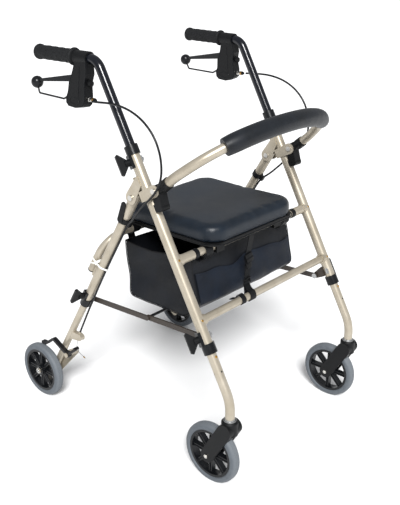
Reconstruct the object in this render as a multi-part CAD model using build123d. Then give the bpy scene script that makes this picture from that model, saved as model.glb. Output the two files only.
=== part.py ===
"""Rollator walker: a folding aluminium A-frame on four wheels, with a padded seat, a bag,
a padded backrest hoop, height-adjustable handles and legs, and hand brakes on the rear wheels.

Frame of the model: millimetres, +Z up, the walker travels towards -Y, +X is the user's left.
The origin is on the floor, under the middle of the walker. Everything is drawn for the left
side (+X) and mirrored for the right.
"""
from build123d import *
from math import cos, radians, sin, tan
import os

# ---- overall layout ----------------------------------------------------------------------
LEG_X = 252.0            # centre plane of the front and rear legs, from the middle
REAR_WHEEL_X = 277.0     # centre plane of the rear wheels, outboard of their legs
WHEEL_Z = 76.0           # axle height, which is the wheel's radius
FRONT_RAKE = 29.0        # front leg from the vertical, leaning back as it rises
REAR_RAKE = 30.9         # rear leg from the vertical, leaning forward as it rises
STEM_Y = -348.0          # caster stem axis
BEND_Z = 231.0           # height of the front leg's bend, where its straight part starts
CASTER_TRAIL = 50.0      # front axle behind the stem axis
PIVOT_S = 503.3          # rear leg pivot: distance up the front leg from the bend
PIVOT_Q = 45.7           # and distance behind the front leg's axis
FIT = 0.05               # radial clearance of a pin in a hole
SLIDE = 0.08             # radial clearance of a telescoping tube

# ---- tubes -------------------------------------------------------------------------------
LEG_R = 12.7             # front leg, upper tube
INNER_R = 11.1           # handle tube and front leg extension, which slide in the leg
REAR_R = 11.1            # rear leg, upper tube
SLEEVE_R = 12.3          # thick sleeve at the top of the rear leg
REAR_INNER_R = 9.5       # rear leg extension
WALL = 1.5
BAR_R = 9.5              # crossbars
STUB_R = 11.1            # sleeve on each end of the seat crossbar
HOOP_R = 11.1            # backrest hoop
FOAM_R = 22.0            # foam sleeve on the hoop
CABLE_R = 2.5

# ---- stations up the front leg, from its bend --------------------------------------------
EXT_TOP_S = 262.0        # inner end of the leg extension
LEG_LOW_S = 124.0
LEG_TOP_S = 600.0
LOW_RING_S = (118.0, 142.0)
LOW_KNOB_S = 157.0
LOW_BAR_S = 193.0
SEAT_BAR_S = 335.0
BACK_BOLT_S = 494.8
BACK_BOLT_Q = -31.3
TOP_KNOB_S = 574.0
TOP_RING_S = (587.0, 609.0)
HANDLE_LOW_S = 450.0
LOW_RING_R = 15.8
NOSE_T = 4.6             # thickness of a clamp's nose, under its knob
STUB_END_Z = 179.0       # lower end of the front extension tube
BEND_R = 100.0

# ---- stations down the rear leg, from its pivot ------------------------------------------
REAR_TOP_U = -12.5
SLEEVE_U = 61.0
REAR_KNOB_U = 350.0
REAR_RING_U = (360.0, 382.0)
REAR_LOW_U = 366.0
REAR_EXT_TOP_U = 262.0
REAR_END_U = 690.0
STRUT_U = 368.0
CLIP_U = 66.0
REAR_BAR_U = 158.0       # rear crossbar, where it crosses
REAR_BAR_Q = 25.0
REAR_BAR_END_U = 274.0
REAR_BAR_BEND_R = 60.0
TIE_U = 232.0

# ---- brackets and fasteners --------------------------------------------------------------
PLATE_T = 2.5
PLATE_IN = LEG_R + 0.05  # inner face of a bracket plate, from the leg's centre plane
BOLT_R = 4.0
HEAD_R = 6.5
HEAD_T = 3.2
TAB_X = (233.5, 243.0)
STRUT_T = 4.0
STRUT_W = 13.0
FRONT_STRUT_X = 229.1    # inner face of the front strut halves
REAR_STRUT_X = 233.5     # inner face of the rear strut halves
FRONT_PIVOT = (-245.0, 351.0)    # strut pivots, (Y, Z)
STRUT_SPLIT = 0.46       # the front half's share of the whole strut
ROD_R = 3.5

# ---- wheels ------------------------------------------------------------------------------
WHEEL_R = 76.0
TYRE_W = 26.0
TYRE_IN_R = 60.0
RIM_W = 22.0
RIM_IN_R = 54.0
HUB_R = 14.0
HUB_W = 29.0
SPOKES = 8
FORK_IN = 16.0           # half of the gap between the fork's blades
FORK_OUT = 22.0
FORK_CAP_R = 19.5
FORK_TOP_Z = 186.0
FORK_LOW_R = 17.5
STEM_R = 6.0

# ---- handles -----------------------------------------------------------------------------
GRIP_Z = 939.0
GRIP_END = (260.0, 236.0, 941.0)
HANDLE_BEND_R = 36.0
GRIP_Y = (113.0, 241.0)
GRIP_R = 16.8
FLANGE_R = 20.0
CLAMP_Y = (67.0, 112.0)
BRAKE_TILT = 6.4         # the brake body leans outward as it hangs
LEVER_PIVOT = (88.0, 884.0)
BALL = (250.0, 869.0)

# ---- seat, bag and backrest --------------------------------------------------------------
SEAT_HALF_W = 168.0
SEAT_Y = (-226.0, 97.0)
SEAT_CORNER_R = 38.0
SEAT_Z = (543.0, 582.0)
SEAT_RIM_Z = 537.0       # the seat's edge hangs below its board, down to here
BOARD_INSET = 8.0
BASE_Z = 537.0
BAG_HALF_W = 188.0
BAG_TOP_Z = 512.0
BAG_EDGE_R = 8.0
HOOP_START = (-165.0, 700.0)
HOOP_SLOPE = 39.9
HOOP_REACH = 176.0
HOOP_SQUARENESS = 2.14   # 2 is an ellipse, more is squarer
HOOP_STEP = 20           # degrees between the corners of the hoop's curve
HOOP_STRAIGHT = 25.0     # straight run out of each socket, to the first corner
FOAM_FROM = 0.5          # where the foam starts, along the hoop's second run
SOCKET_DEPTH = 14.0
SOCKET_R = 13.4

os.makedirs("parts", exist_ok=True)

X_AXIS = Vector(1, 0, 0)
LEG_UP = Vector(0, sin(radians(FRONT_RAKE)), cos(radians(FRONT_RAKE)))
LEG_BACK = Vector(0, cos(radians(FRONT_RAKE)), -sin(radians(FRONT_RAKE)))
REAR_DOWN = Vector(0, sin(radians(REAR_RAKE)), -cos(radians(REAR_RAKE)))
REAR_BACK = Vector(0, cos(radians(REAR_RAKE)), sin(radians(REAR_RAKE)))


def front(s, q=0.0, x=LEG_X):
    """A point on the front leg: s up it from the bend, q behind its axis."""
    return Vector(x, STEM_Y, BEND_Z) + LEG_UP * s + LEG_BACK * q


PIVOT = front(PIVOT_S, PIVOT_Q)


def rear(u, q=0.0, x=LEG_X):
    """A point on the rear leg: u down it from the pivot, q behind its axis."""
    return Vector(x, PIVOT.Y, PIVOT.Z) + REAR_DOWN * u + REAR_BACK * q


def bar(a, b, r):
    """A round bar from point a to point b."""
    a = Vector(*a) if isinstance(a, tuple) else a
    b = Vector(*b) if isinstance(b, tuple) else b
    return Solid.make_cylinder(r, (b - a).length, Plane(origin=a, z_dir=b - a))


def tube(a, b, r, bore_r):
    """A straight tube from point a to point b."""
    run = (b - a).normalized()
    return bar(a, b, r) - bar(a - run, b + run, bore_r)


def across(y, z, x0, x1, r):
    """A round bar along X."""
    return bar((x0, y, z), (x1, y, z), r)


def swept(path, r, bore_r=0.0):
    """A tube, or a solid rod, along a path."""
    plane = Plane(origin=path @ 0, z_dir=path % 0)
    part = sweep(plane * Circle(r), path=path)
    return part - sweep(plane * Circle(bore_r), path=path) if bore_r else part


def side_face(sketch, x0, x1):
    """A sketch drawn in (Y, Z), extruded from x0 to x1."""
    plane = Plane(origin=(x0, 0, 0), x_dir=(0, 1, 0), z_dir=(1, 0, 0))
    return extrude(plane * sketch, amount=x1 - x0)


def side_plate(circles, x0, x1):
    """A plate in the YZ plane whose outline wraps the given (y, z, r) circles."""
    discs = Sketch() + [Pos(y, z) * Circle(r) for y, z, r in circles]
    return side_face(make_hull(discs.edges()), x0, x1)


def yz(point):
    return (point.Y, point.Z)


def box(x, y, z):
    """A box given by its (low, high) limits on each axis."""
    size = (x[1] - x[0], y[1] - y[0], z[1] - z[0])
    return Pos(x[0], y[0], z[0]) * Box(*size, align=(Align.MIN,) * 3)


def mirrored(shape):
    return mirror(shape, about=Plane.YZ)


def solids_of(shapes):
    return [solid for shape in shapes for solid in shape.solids()]


def save(name, *shapes):
    """Write one node: one solid, or a group of separate solids."""
    parts = solids_of(shapes)
    export_step(parts[0] if len(parts) == 1 else Compound(children=parts), f"parts/{name}.step")


def save_pair(name, *shapes):
    """Write the left and right pieces as one node."""
    save(name, *shapes, *[mirrored(shape) for shape in shapes])


def save_sides(name, *shapes):
    """Write the left and the right piece as nodes of their own."""
    save(f"left_{name}", *shapes)
    save(f"right_{name}", *[mirrored(shape) for shape in shapes])


# ---- clamps with wing knobs --------------------------------------------------------------
KNOB_LEAN = 20.0         # a knob points outboard, leaning to the rear
KNOB_R = 8.0
SCREW_R = 3.0
WING_END = 44.0
WING_HALF = 25.0
WING_T = 7.0


def knob_axis(back):
    return X_AXIS * cos(radians(KNOB_LEAN)) + back * sin(radians(KNOB_LEAN))


def knob(centre, along, back, tube_r, inner_r):
    """A wing knob whose screw clamps the inner tube."""
    out = knob_axis(back)
    seat = tube_r + NOSE_T + 0.4
    boss = bar(centre + out * seat, centre + out * (seat + 12), KNOB_R)
    screw = bar(centre + out * (inner_r + 0.9), centre + out * (seat + 2), SCREW_R)
    plane = Plane(origin=centre, x_dir=out, z_dir=out.cross(along))
    wing = Polygon((seat + 3, -6), (seat + 3, 6), (WING_END - 5, WING_HALF), (WING_END, WING_HALF - 3),
                   (WING_END, 3 - WING_HALF), (WING_END - 5, -WING_HALF), align=None)
    return boss + screw + extrude(plane * wing, amount=WING_T / 2, both=True)


def clamp(place, along, back, ring, low, knob_at, tube_r, inner_r, ring_r):
    """A plastic collar on the end of an outer tube, with a nose under the wing knob.

    place(s) gives points up the leg, ring is the collar's two stations, and low is the end
    of the outer tube, inside the collar."""
    out = knob_axis(back)
    near = min(ring, key=lambda s: abs(s - knob_at))
    far = ring[0] + ring[1] - near
    step = 1 if knob_at > near else -1
    collar = bar(place(far), place(near), ring_r)
    nose_end = knob_at + step * (KNOB_R + 4)
    centre = (place(near) + place(nose_end)) * 0.5
    length = (place(nose_end) - place(near)).length
    plane = Plane(origin=centre, x_dir=along, z_dir=out)
    nose = extrude(plane * Rectangle(length + 6, 2 * KNOB_R), amount=tube_r + NOSE_T)
    body = collar + nose
    body -= bar(place(low), place(nose_end + step * 20), tube_r)
    body -= bar(place(far - step), place(low), inner_r + SLIDE)
    return body - bar(place(knob_at), place(knob_at) + out * 40, SCREW_R + FIT)


def screw_hole(centre, back, reach):
    return bar(centre, centre + knob_axis(back) * reach, SCREW_R + FIT)


def saddle(centre, along, back, tube_r, nut_end=5.0, nut_r=3.6):
    """The nut and washer opposite a knob; nut_end is how far the nut stands off the tube."""
    inward = knob_axis(back) * -1
    washer = extrude(Plane(origin=centre, x_dir=along, z_dir=inward) * RectangleRounded(15, 8, 2),
                     amount=tube_r + 2.2)
    nut = bar(centre + inward * (tube_r + 2), centre + inward * (tube_r + nut_end), nut_r)
    return washer + nut - bar(centre - along * 20, centre + along * 20, tube_r)


# ---- front legs --------------------------------------------------------------------------
leg = tube(front(LEG_LOW_S), front(LEG_TOP_S), LEG_R, INNER_R + SLIDE)
for s in (LOW_KNOB_S, TOP_KNOB_S):
    leg -= screw_hole(front(s), LEG_BACK, 40)
save_sides("front_leg", leg)
leg_solid = bar(front(LEG_LOW_S - 20), front(LEG_TOP_S + 20), LEG_R)

save_pair("front_clamp_collars", clamp(front, LEG_UP, LEG_BACK, LOW_RING_S, LEG_LOW_S, LOW_KNOB_S,
                                       LEG_R, INNER_R, LOW_RING_R))
save_pair("handle_collars", clamp(front, LEG_UP, LEG_BACK, TOP_RING_S, LEG_TOP_S, TOP_KNOB_S,
                                  LEG_R, INNER_R, LOW_RING_R))
save_sides("front_leg_knob", knob(front(LOW_KNOB_S), LEG_UP, LEG_BACK, LEG_R, INNER_R))
save_sides("handle_knob", knob(front(TOP_KNOB_S), LEG_UP, LEG_BACK, LEG_R, INNER_R))

# strut tab on the inner side of each front leg, and the pin that the front strut half turns on
tab_low = front(LOW_KNOB_S - 8, 8)
tab_high = front(LOW_KNOB_S + 12, 8)
tab = side_plate([(*FRONT_PIVOT, 8), (*yz(tab_low), 3), (*yz(tab_high), 3)], *TAB_X)
tab -= leg_solid + across(*FRONT_PIVOT, TAB_X[0] - 1, TAB_X[1] + 1, BOLT_R)
save_pair("strut_tabs", tab)


def strut_pin(y, z, x_root, x_head):
    """A shouldered pin along X with its head on the inner side."""
    return across(y, z, x_head, x_root, BOLT_R) + across(y, z, x_head - 3, x_head, HEAD_R + 0.5)


front_pin = strut_pin(*FRONT_PIVOT, TAB_X[1], FRONT_STRUT_X - 0.4)
save_pair("front_leg_fasteners", saddle(front(LOW_KNOB_S), LEG_UP, LEG_BACK, LEG_R),
          saddle(front(TOP_KNOB_S), LEG_UP, LEG_BACK, LEG_R), front_pin)

# crossbars, welded between the front legs
both_legs = leg_solid + mirrored(leg_solid)


def crossbar(station, r, sleeve_x=None):
    y, z = yz(front(station))
    part = across(y, z, -LEG_X, LEG_X, r) - across(y, z, -LEG_X - 1, LEG_X + 1, r - WALL)
    for side in (-1, 1):
        weld = across(y, z, side * (LEG_X - LEG_R - 4), side * LEG_X, r + 3.5)
        part += weld - across(y, z, side * (LEG_X - LEG_R - 5), side * (LEG_X + 1), r - WALL)
        if sleeve_x:
            part += across(y, z, side * sleeve_x, side * LEG_X, STUB_R) - across(
                y, z, side * (sleeve_x - 1), side * (LEG_X + 1), r - WALL)
    return part - both_legs


save("seat_crossbar", crossbar(SEAT_BAR_S, BAR_R, 196.0))
save("lower_crossbar", crossbar(LOW_BAR_S, BAR_R))

# ---- brackets on the front legs ----------------------------------------------------------
BACK_BOLT = front(BACK_BOLT_S, BACK_BOLT_Q)
BRACKET_HALF = 11.5
REAR_WEB_S = (516.0, 541.0)


def both_plates(circles):
    """A pair of side plates, one on each side of the leg."""
    inner = side_plate(circles, LEG_X - PLATE_IN - PLATE_T, LEG_X - PLATE_IN)
    outer = side_plate(circles, LEG_X + PLATE_IN, LEG_X + PLATE_IN + PLATE_T)
    return inner + outer


def web(s0, s1, q):
    """The back of a folded bracket, between its plates."""
    width = 2 * (PLATE_IN + PLATE_T)
    plane = Plane(origin=front((s0 + s1) / 2, q), x_dir=(1, 0, 0), z_dir=LEG_BACK)
    return extrude(plane * Rectangle(width, s1 - s0), amount=PLATE_T)


edge_q = LEG_R + PLATE_T - 2
front_bracket = both_plates([(*yz(BACK_BOLT), 14)]
                            + [(*yz(front(BACK_BOLT_S + side * (BRACKET_HALF - 2), edge_q)), 2)
                               for side in (-1, 1)])
front_bracket += web(BACK_BOLT_S - BRACKET_HALF, BACK_BOLT_S + BRACKET_HALF, LEG_R)
rear_bracket = both_plates([(*yz(PIVOT), 15.5)]
                           + [(*yz(front(s, 3)), 2) for s in (REAR_WEB_S[0] + 2, REAR_WEB_S[1] - 2)])
rear_bracket += web(*REAR_WEB_S, LEG_R)
rear_bracket -= front_bracket
bolt_line = across(*yz(BACK_BOLT), LEG_X - 30, LEG_X + 30, BOLT_R)
pivot_line = across(*yz(PIVOT), LEG_X - 30, LEG_X + 30, BOLT_R)
save_pair("leg_brackets", front_bracket - bolt_line, rear_bracket - pivot_line)


def through_bolt(centre, head_r=HEAD_R):
    """A bolt along X through a bracket, with a domed head outboard and a nut inboard."""
    y, z = yz(centre)
    face = PLATE_IN + PLATE_T
    shank = across(y, z, LEG_X - face - 1, LEG_X + face + 1, BOLT_R)
    head = across(y, z, LEG_X + face, LEG_X + face + HEAD_T, head_r)
    nut = across(y, z, LEG_X - face - HEAD_T, LEG_X - face, head_r)
    return shank + head + nut


save_pair("bracket_bolts", through_bolt(PIVOT), through_bolt(BACK_BOLT))

# ---- front leg extensions and casters ----------------------------------------------------
AXLE_Y = STEM_Y + CASTER_TRAIL
ext_path = FilletPolyline(front(EXT_TOP_S), (LEG_X, STEM_Y, BEND_Z),
                          (LEG_X, STEM_Y, STUB_END_Z), radius=BEND_R)
extension = swept(ext_path, INNER_R, INNER_R - WALL)
bush_top = STUB_END_Z + 15
bush = tube(Vector(LEG_X, STEM_Y, STUB_END_Z), Vector(LEG_X, STEM_Y, bush_top),
            INNER_R - WALL, STEM_R + FIT)
extension += bush
hole_at = front(73.0)
extension -= bar(hole_at, hole_at + knob_axis(LEG_BACK) * 20, 2.2)
save_sides("front_extension", extension)

wheel_room = across(AXLE_Y, WHEEL_Z, LEG_X - FORK_IN, LEG_X + FORK_IN, WHEEL_R + 3.5)
stem_top = (LEG_X, STEM_Y, FORK_TOP_Z)
fork = side_plate([(STEM_Y, 163, FORK_CAP_R - 1), (AXLE_Y, WHEEL_Z, FORK_LOW_R)],
                  LEG_X - FORK_OUT, LEG_X + FORK_OUT)
cap = bar((LEG_X, STEM_Y, 150), (LEG_X, STEM_Y, FORK_TOP_Z), FORK_CAP_R)
cap = chamfer(cap.edges().sort_by(Axis.Z)[-1], 4)
fork = fork + cap - wheel_room
fork -= bar((LEG_X, STEM_Y, STUB_END_Z - 11), (LEG_X, STEM_Y, FORK_TOP_Z + 1), INNER_R + 1.5)
fork += bar((LEG_X, STEM_Y, 165), (LEG_X, STEM_Y, bush_top + 4), STEM_R)
fork += bar((LEG_X, STEM_Y, STUB_END_Z - 11), (LEG_X, STEM_Y, STUB_END_Z - 0.4), STEM_R + 3)
fork -= across(AXLE_Y, WHEEL_Z, LEG_X - 40, LEG_X + 40, BOLT_R)
save_sides("caster_fork", fork)

axle_bolt = across(AXLE_Y, WHEEL_Z, LEG_X - FORK_OUT - 4, LEG_X + FORK_OUT + 4, BOLT_R)
axle_bolt += across(AXLE_Y, WHEEL_Z, LEG_X + FORK_OUT, LEG_X + FORK_OUT + HEAD_T, 5.0)
axle_bolt += across(AXLE_Y, WHEEL_Z, LEG_X - FORK_OUT - HEAD_T, LEG_X - FORK_OUT, 5.0)
save_sides("caster_axle", axle_bolt)


def wheel_rim():
    """A moulded rim about the X axis, with ribbed spokes."""
    ring = Rectangle(RIM_W, TYRE_IN_R - RIM_IN_R)
    part = revolve(Pos(0, (TYRE_IN_R + RIM_IN_R) / 2) * ring, axis=Axis.X)
    part += Rot(0, 90, 0) * Cylinder(HUB_R, HUB_W)
    reach = (RIM_IN_R + 1 + HUB_R - 1) / 2
    length = RIM_IN_R + 1 - (HUB_R - 1)
    spoke = Pos(0, 0, reach) * Box(6, 9, length)
    for side in (-1, 1):
        spoke += Pos(0, side * 3.2, reach) * Box(14, 2.6, length)
    for turn in range(SPOKES):
        part += Rot(360 / SPOKES * turn, 0, 0) * spoke
    return part - Rot(0, 90, 0) * Cylinder(BOLT_R + FIT, HUB_W + 2)


def wheel_tyre():
    """A solid tyre about the X axis."""
    section = Pos(0, (WHEEL_R + TYRE_IN_R) / 2) * Rectangle(TYRE_W, WHEEL_R - TYRE_IN_R)
    section = fillet(section.vertices().group_by(Axis.Y)[-1], 8)
    return revolve(section, axis=Axis.X)


rim, tyre = wheel_rim(), wheel_tyre()
front_place = Pos(LEG_X, AXLE_Y, WHEEL_Z)
save_sides("front_rim", front_place * rim)
save_sides("front_tyre", front_place * tyre)

# ---- rear legs ---------------------------------------------------------------------------
rear_leg = tube(rear(REAR_TOP_U), rear(REAR_LOW_U), REAR_R, REAR_INNER_R + SLIDE)
rear_leg += tube(rear(REAR_TOP_U), rear(SLEEVE_U), SLEEVE_R, REAR_R - 0.5)
rear_leg -= across(*yz(PIVOT), LEG_X - 30, LEG_X + 30, BOLT_R + FIT)
rear_leg -= screw_hole(rear(REAR_KNOB_U), REAR_BACK, 40)
save_sides("rear_leg", rear_leg)
rear_leg_solid = bar(rear(REAR_TOP_U), rear(REAR_LOW_U), REAR_R)

RING_R = 14.0
rear_clamp = clamp(rear, REAR_DOWN, REAR_BACK, REAR_RING_U, REAR_LOW_U, REAR_KNOB_U,
                   REAR_R, REAR_INNER_R, RING_R)
strut_at = yz(rear(STRUT_U))
boss_x = REAR_STRUT_X + STRUT_T + 0.4
rear_clamp += across(*strut_at, boss_x, LEG_X - 8, 7)
rear_clamp -= bar(rear(REAR_RING_U[0] - 40), rear(REAR_LOW_U), REAR_R)
rear_clamp -= bar(rear(REAR_LOW_U - 1), rear(REAR_RING_U[1] + 5), REAR_INNER_R + SLIDE)
save_pair("rear_clamp_collars", rear_clamp)
save_sides("rear_leg_knob", knob(rear(REAR_KNOB_U), REAR_DOWN, REAR_BACK, REAR_R, REAR_INNER_R))
# the rear leg's nut is thin, because the strut swings past it
save_pair("rear_leg_fasteners", saddle(rear(REAR_KNOB_U), REAR_DOWN, REAR_BACK, REAR_R, 2.8, 3.0),
          strut_pin(*strut_at, boss_x, REAR_STRUT_X - 0.4))

# rear crossbar: a bent tube whose ends lie along the backs of the rear legs
corner = rear(REAR_BAR_U, REAR_BAR_Q)
bar_end = rear(REAR_BAR_END_U, REAR_BAR_Q)
rear_path = FilletPolyline((LEG_X, bar_end.Y, bar_end.Z), (LEG_X, corner.Y, corner.Z),
                           (-LEG_X, corner.Y, corner.Z), (-LEG_X, bar_end.Y, bar_end.Z),
                           radius=REAR_BAR_BEND_R)
rear_bar = swept(rear_path, BAR_R, BAR_R - WALL)
strip_q = (REAR_R + REAR_BAR_Q - BAR_R) / 2
strip_plane = Plane(origin=rear(REAR_BAR_END_U - 12, strip_q), x_dir=REAR_DOWN, z_dir=(1, 0, 0))
strip = extrude(strip_plane * Rectangle(44, REAR_BAR_Q - 2), amount=4.0, both=True)
strip -= rear_leg_solid + bar(rear(REAR_BAR_END_U - 60, REAR_BAR_Q), bar_end + REAR_DOWN * 40, BAR_R - 0.6)
rear_bar += strip + mirrored(strip)
save("rear_crossbar", rear_bar)

# a cable tie round each rear leg, its crossbar end and the brake cable
TIE_W = 5.0
TIE_FRONT_Q = -(REAR_R + 2 * CABLE_R + 0.6)


def tie_loop(grow):
    discs = Pos(TIE_FRONT_Q + CABLE_R + 0.3, 0) * Circle(CABLE_R + 0.5 + grow)
    discs += Circle(REAR_R + 0.3 + grow)
    discs += Pos(REAR_BAR_Q, 0) * Circle(BAR_R + 0.3 + grow)
    return make_hull(discs.edges())


tie_plane = Plane(origin=rear(TIE_U), x_dir=REAR_BACK, z_dir=REAR_DOWN)
tie = extrude(tie_plane * tie_loop(1.4), amount=TIE_W) - extrude(tie_plane * tie_loop(0), amount=TIE_W)
tie_head_plane = Plane(origin=rear(TIE_U - 1, REAR_BAR_Q - 14), x_dir=REAR_BACK, z_dir=(1, 0, 0))
head = extrude(tie_head_plane * Rectangle(7, 8), amount=REAR_R + 6)
head -= extrude(tie_plane.offset(-3) * tie_loop(0.7), amount=TIE_W + 6)
head -= rear_leg_solid
save_pair("cable_ties", tie + head)

# ---- struts ------------------------------------------------------------------------------
# the two halves lie in one line when the frame is open, and break upward as it folds
MID_PIVOT = tuple(a + (b - a) * STRUT_SPLIT for a, b in zip(FRONT_PIVOT, strut_at))


def strut_half(a, b, x0, hole_r):
    """A flat bar with round ends from a to b, (Y, Z), bored at a."""
    part = side_plate([(*a, STRUT_W / 2), (*b, STRUT_W / 2)], x0, x0 + STRUT_T)
    return part - across(*a, x0 - 1, x0 + STRUT_T + 1, hole_r)


save_pair("front_struts", strut_half(FRONT_PIVOT, MID_PIVOT, FRONT_STRUT_X, BOLT_R + FIT))
save("link_rod", across(*MID_PIVOT, -FRONT_STRUT_X, FRONT_STRUT_X, ROD_R))
save_sides("rear_strut", strut_half(strut_at, MID_PIVOT, REAR_STRUT_X, BOLT_R + FIT))

# ---- rear leg extensions, brakes and wheels ----------------------------------------------
REAR_AXLE = (298.0, WHEEL_Z)
BRAKE_PIVOT = (193.0, 157.0)
PLATE_X = LEG_X - REAR_INNER_R
ARM_X = (264.0, 276.0)
ARM_T = 7.0
rear_ext = tube(rear(REAR_EXT_TOP_U), rear(REAR_END_U), REAR_INNER_R, REAR_INNER_R - WALL)
foot = side_plate([(*REAR_AXLE, 12), (*yz(rear(REAR_END_U - 8, -4)), 9), (*BRAKE_PIVOT, 8),
                   (*yz(rear(REAR_END_U - 78)), 8)], PLATE_X - 3, PLATE_X)
axle_boss_end = REAR_WHEEL_X - HUB_W / 2 - 0.5
foot += across(*REAR_AXLE, PLATE_X - 3, axle_boss_end, 8)
foot += across(*BRAKE_PIVOT, PLATE_X - 3, ARM_X[0] - 0.4, 6)
foot += across(*BRAKE_PIVOT, ARM_X[0] - 0.5, ARM_X[1] + 0.4, BOLT_R)
foot += across(*BRAKE_PIVOT, ARM_X[1] + 0.4, ARM_X[1] + 3, HEAD_R)
foot += across(*REAR_AXLE, axle_boss_end - 0.1, REAR_WHEEL_X + HUB_W / 2 + 0.5, BOLT_R)
foot += across(*REAR_AXLE, REAR_WHEEL_X + HUB_W / 2 + 0.5, REAR_WHEEL_X + HUB_W / 2 + 4.5, 7)
rear_bore = bar(rear(REAR_END_U - 90), rear(REAR_END_U + 20), REAR_INNER_R - WALL)
rear_ext = rear_ext + foot - rear_bore

# the cable stop, a folded bracket on the front of the leg
STOP_U = 509.0
CABLE_END = (161.0, 226.0)
stop = side_plate([(*yz(rear(STOP_U - 8)), 4), (*yz(rear(STOP_U + 12)), 4), (159.0, 214.0, 9)],
                  LEG_X - 6.5, LEG_X + 6.5)
stop -= side_plate([(*yz(rear(STOP_U - 8, -14)), 3), (*yz(rear(STOP_U + 12, -14)), 3),
                    (163.0, 208.0, 12)], LEG_X - 4.5, LEG_X + 4.5)
cable_run = (Vector(LEG_X, *CABLE_END) - rear(REAR_RING_U[1] + 20, -20)).normalized()
adjuster = bar(Vector(LEG_X, *CABLE_END) - cable_run * 4, Vector(LEG_X, *CABLE_END) + cable_run * 13, 3.6)
stop = stop + adjuster - bar(rear(STOP_U - 30), rear(STOP_U + 30), REAR_INNER_R - 0.2)
rear_ext += stop
save_sides("rear_extension", rear_ext)

rear_place = Pos(REAR_WHEEL_X, *REAR_AXLE)
save_sides("rear_rim", rear_place * rim)
save_sides("rear_tyre", rear_place * tyre)

# brake arm: a bent strip from the pad on the tyre, over the leg, to the cable
PAD_Z = 156.4
arm_path = FilletPolyline((299, PAD_Z + 3), (281, PAD_Z + 4), (249, 185), BRAKE_PIVOT, (160, 184),
                          radius=6)
arm = side_face(trace(arm_path, line_width=ARM_T), *ARM_X)
arm += across(*BRAKE_PIVOT, *ARM_X, 8)
arm -= across(*BRAKE_PIVOT, ARM_X[0] - 1, ARM_X[1] + 1, BOLT_R + FIT)
save_sides("brake_arm", arm)

# ---- cable clip on each rear leg ---------------------------------------------------------
clip_low, clip_high = rear(CLIP_U + 13), rear(CLIP_U)
CLIP_TAB_Q = -(REAR_R + 4.0)
clip = bar(clip_high, clip_low, REAR_R + 3)
tab_plane = Plane(origin=rear(CLIP_U + 6.5, CLIP_TAB_Q), x_dir=REAR_DOWN, z_dir=(1, 0, 0))
clip += extrude(tab_plane * Rectangle(13, 14), amount=5, both=True)
lobe = side_plate([(*yz(rear(CLIP_U + 6, 2)), 8), (*yz(rear(SLEEVE_U - 30, 10)), 7)],
                  LEG_X + SLEEVE_R + 0.4, LEG_X + SLEEVE_R + 3)
clip += lobe + side_plate([(*yz(rear(CLIP_U + 6.5)), 6)], LEG_X, LEG_X + SLEEVE_R + 3)
clip -= bar(rear(CLIP_U - 20), rear(CLIP_U + 30), REAR_R)

# ---- brake cables ------------------------------------------------------------------------
# from the brake body forward in an arc, down past the backrest bracket, back across the leg,
# through the clip and down the front of the rear leg to the cable stop
cable_points = [Vector(*point) for point in (
    (274.5, 41.0, 851.0), (274.5, 18.0, 852.0), (274.5, -12.0, 854.5), (274.5, -46.0, 853.5),
    (274.5, -84.0, 846.0), (274.5, -120.0, 829.0), (274.5, -149.0, 802.0), (274.5, -165.0, 768.0),
    (274.5, -169.0, 736.0), (274.5, -165.0, 709.0), (274.5, -152.0, 684.0), (274.5, -131.0, 661.5),
    (273.0, -105.0, 638.0), (268.0, -80.0, 612.0), (261.0, -57.0, 589.5),
)]
CABLE_Q = -(REAR_R + CABLE_R + 0.3)
leg_points = [rear(u, CABLE_Q, x) for u, x in ((CLIP_U + 12, 253.0), (130.0, 252.0),
                                               (TIE_U - 40, 252.3), (TIE_U + 10, 252.0))]
tail = [rear(300.0, CABLE_Q - 1.6, 252.3), rear(350.0, CABLE_Q - 3.6), rear(395.0, CABLE_Q - 5.2, 252.3),
        rear(440.0, CABLE_Q - 8.0)]
cable_end = Vector(LEG_X, *CABLE_END) - cable_run * 4.6
cable_points += leg_points + tail + [cable_end]


def cord_radii(points, share=0.45):
    """The largest arcs that a cord's runs leave room for."""
    radii = []
    for a, b, c in zip(points, points[1:], points[2:]):
        u, v = b - a, c - b
        turn = radians(u.get_angle(v))
        radii.append(share * min(u.length, v.length) / tan(turn / 2))
    return radii


radii = cord_radii(cable_points)
cable_path = FilletPolyline(*cable_points, radius=radii)
cable = swept(cable_path, CABLE_R)
print("cable length", round(cable_path.length, 1), "least radius", round(min(radii), 1))
print("cable volume ratio", round(cable.volume / (3.14159265 * CABLE_R ** 2 * cable_path.length), 4))
save_pair("brake_cables", cable)
save_pair("cable_clips", clip - swept(cable_path, CABLE_R + 0.1))

# ---- handles -----------------------------------------------------------------------------
handle_corner = front((GRIP_Z - BEND_Z) / cos(radians(FRONT_RAKE)))
handle_path = FilletPolyline(front(HANDLE_LOW_S), handle_corner, GRIP_END,
                             radius=HANDLE_BEND_R)
save_sides("handle_tube", swept(handle_path, INNER_R, INNER_R - WALL))
GRIP_RUN = (Vector(*GRIP_END) - handle_corner).normalized()


def along_grip(y):
    """The point on the grip's axis at the given Y."""
    return handle_corner + GRIP_RUN * ((y - handle_corner.Y) / GRIP_RUN.Y)


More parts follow.
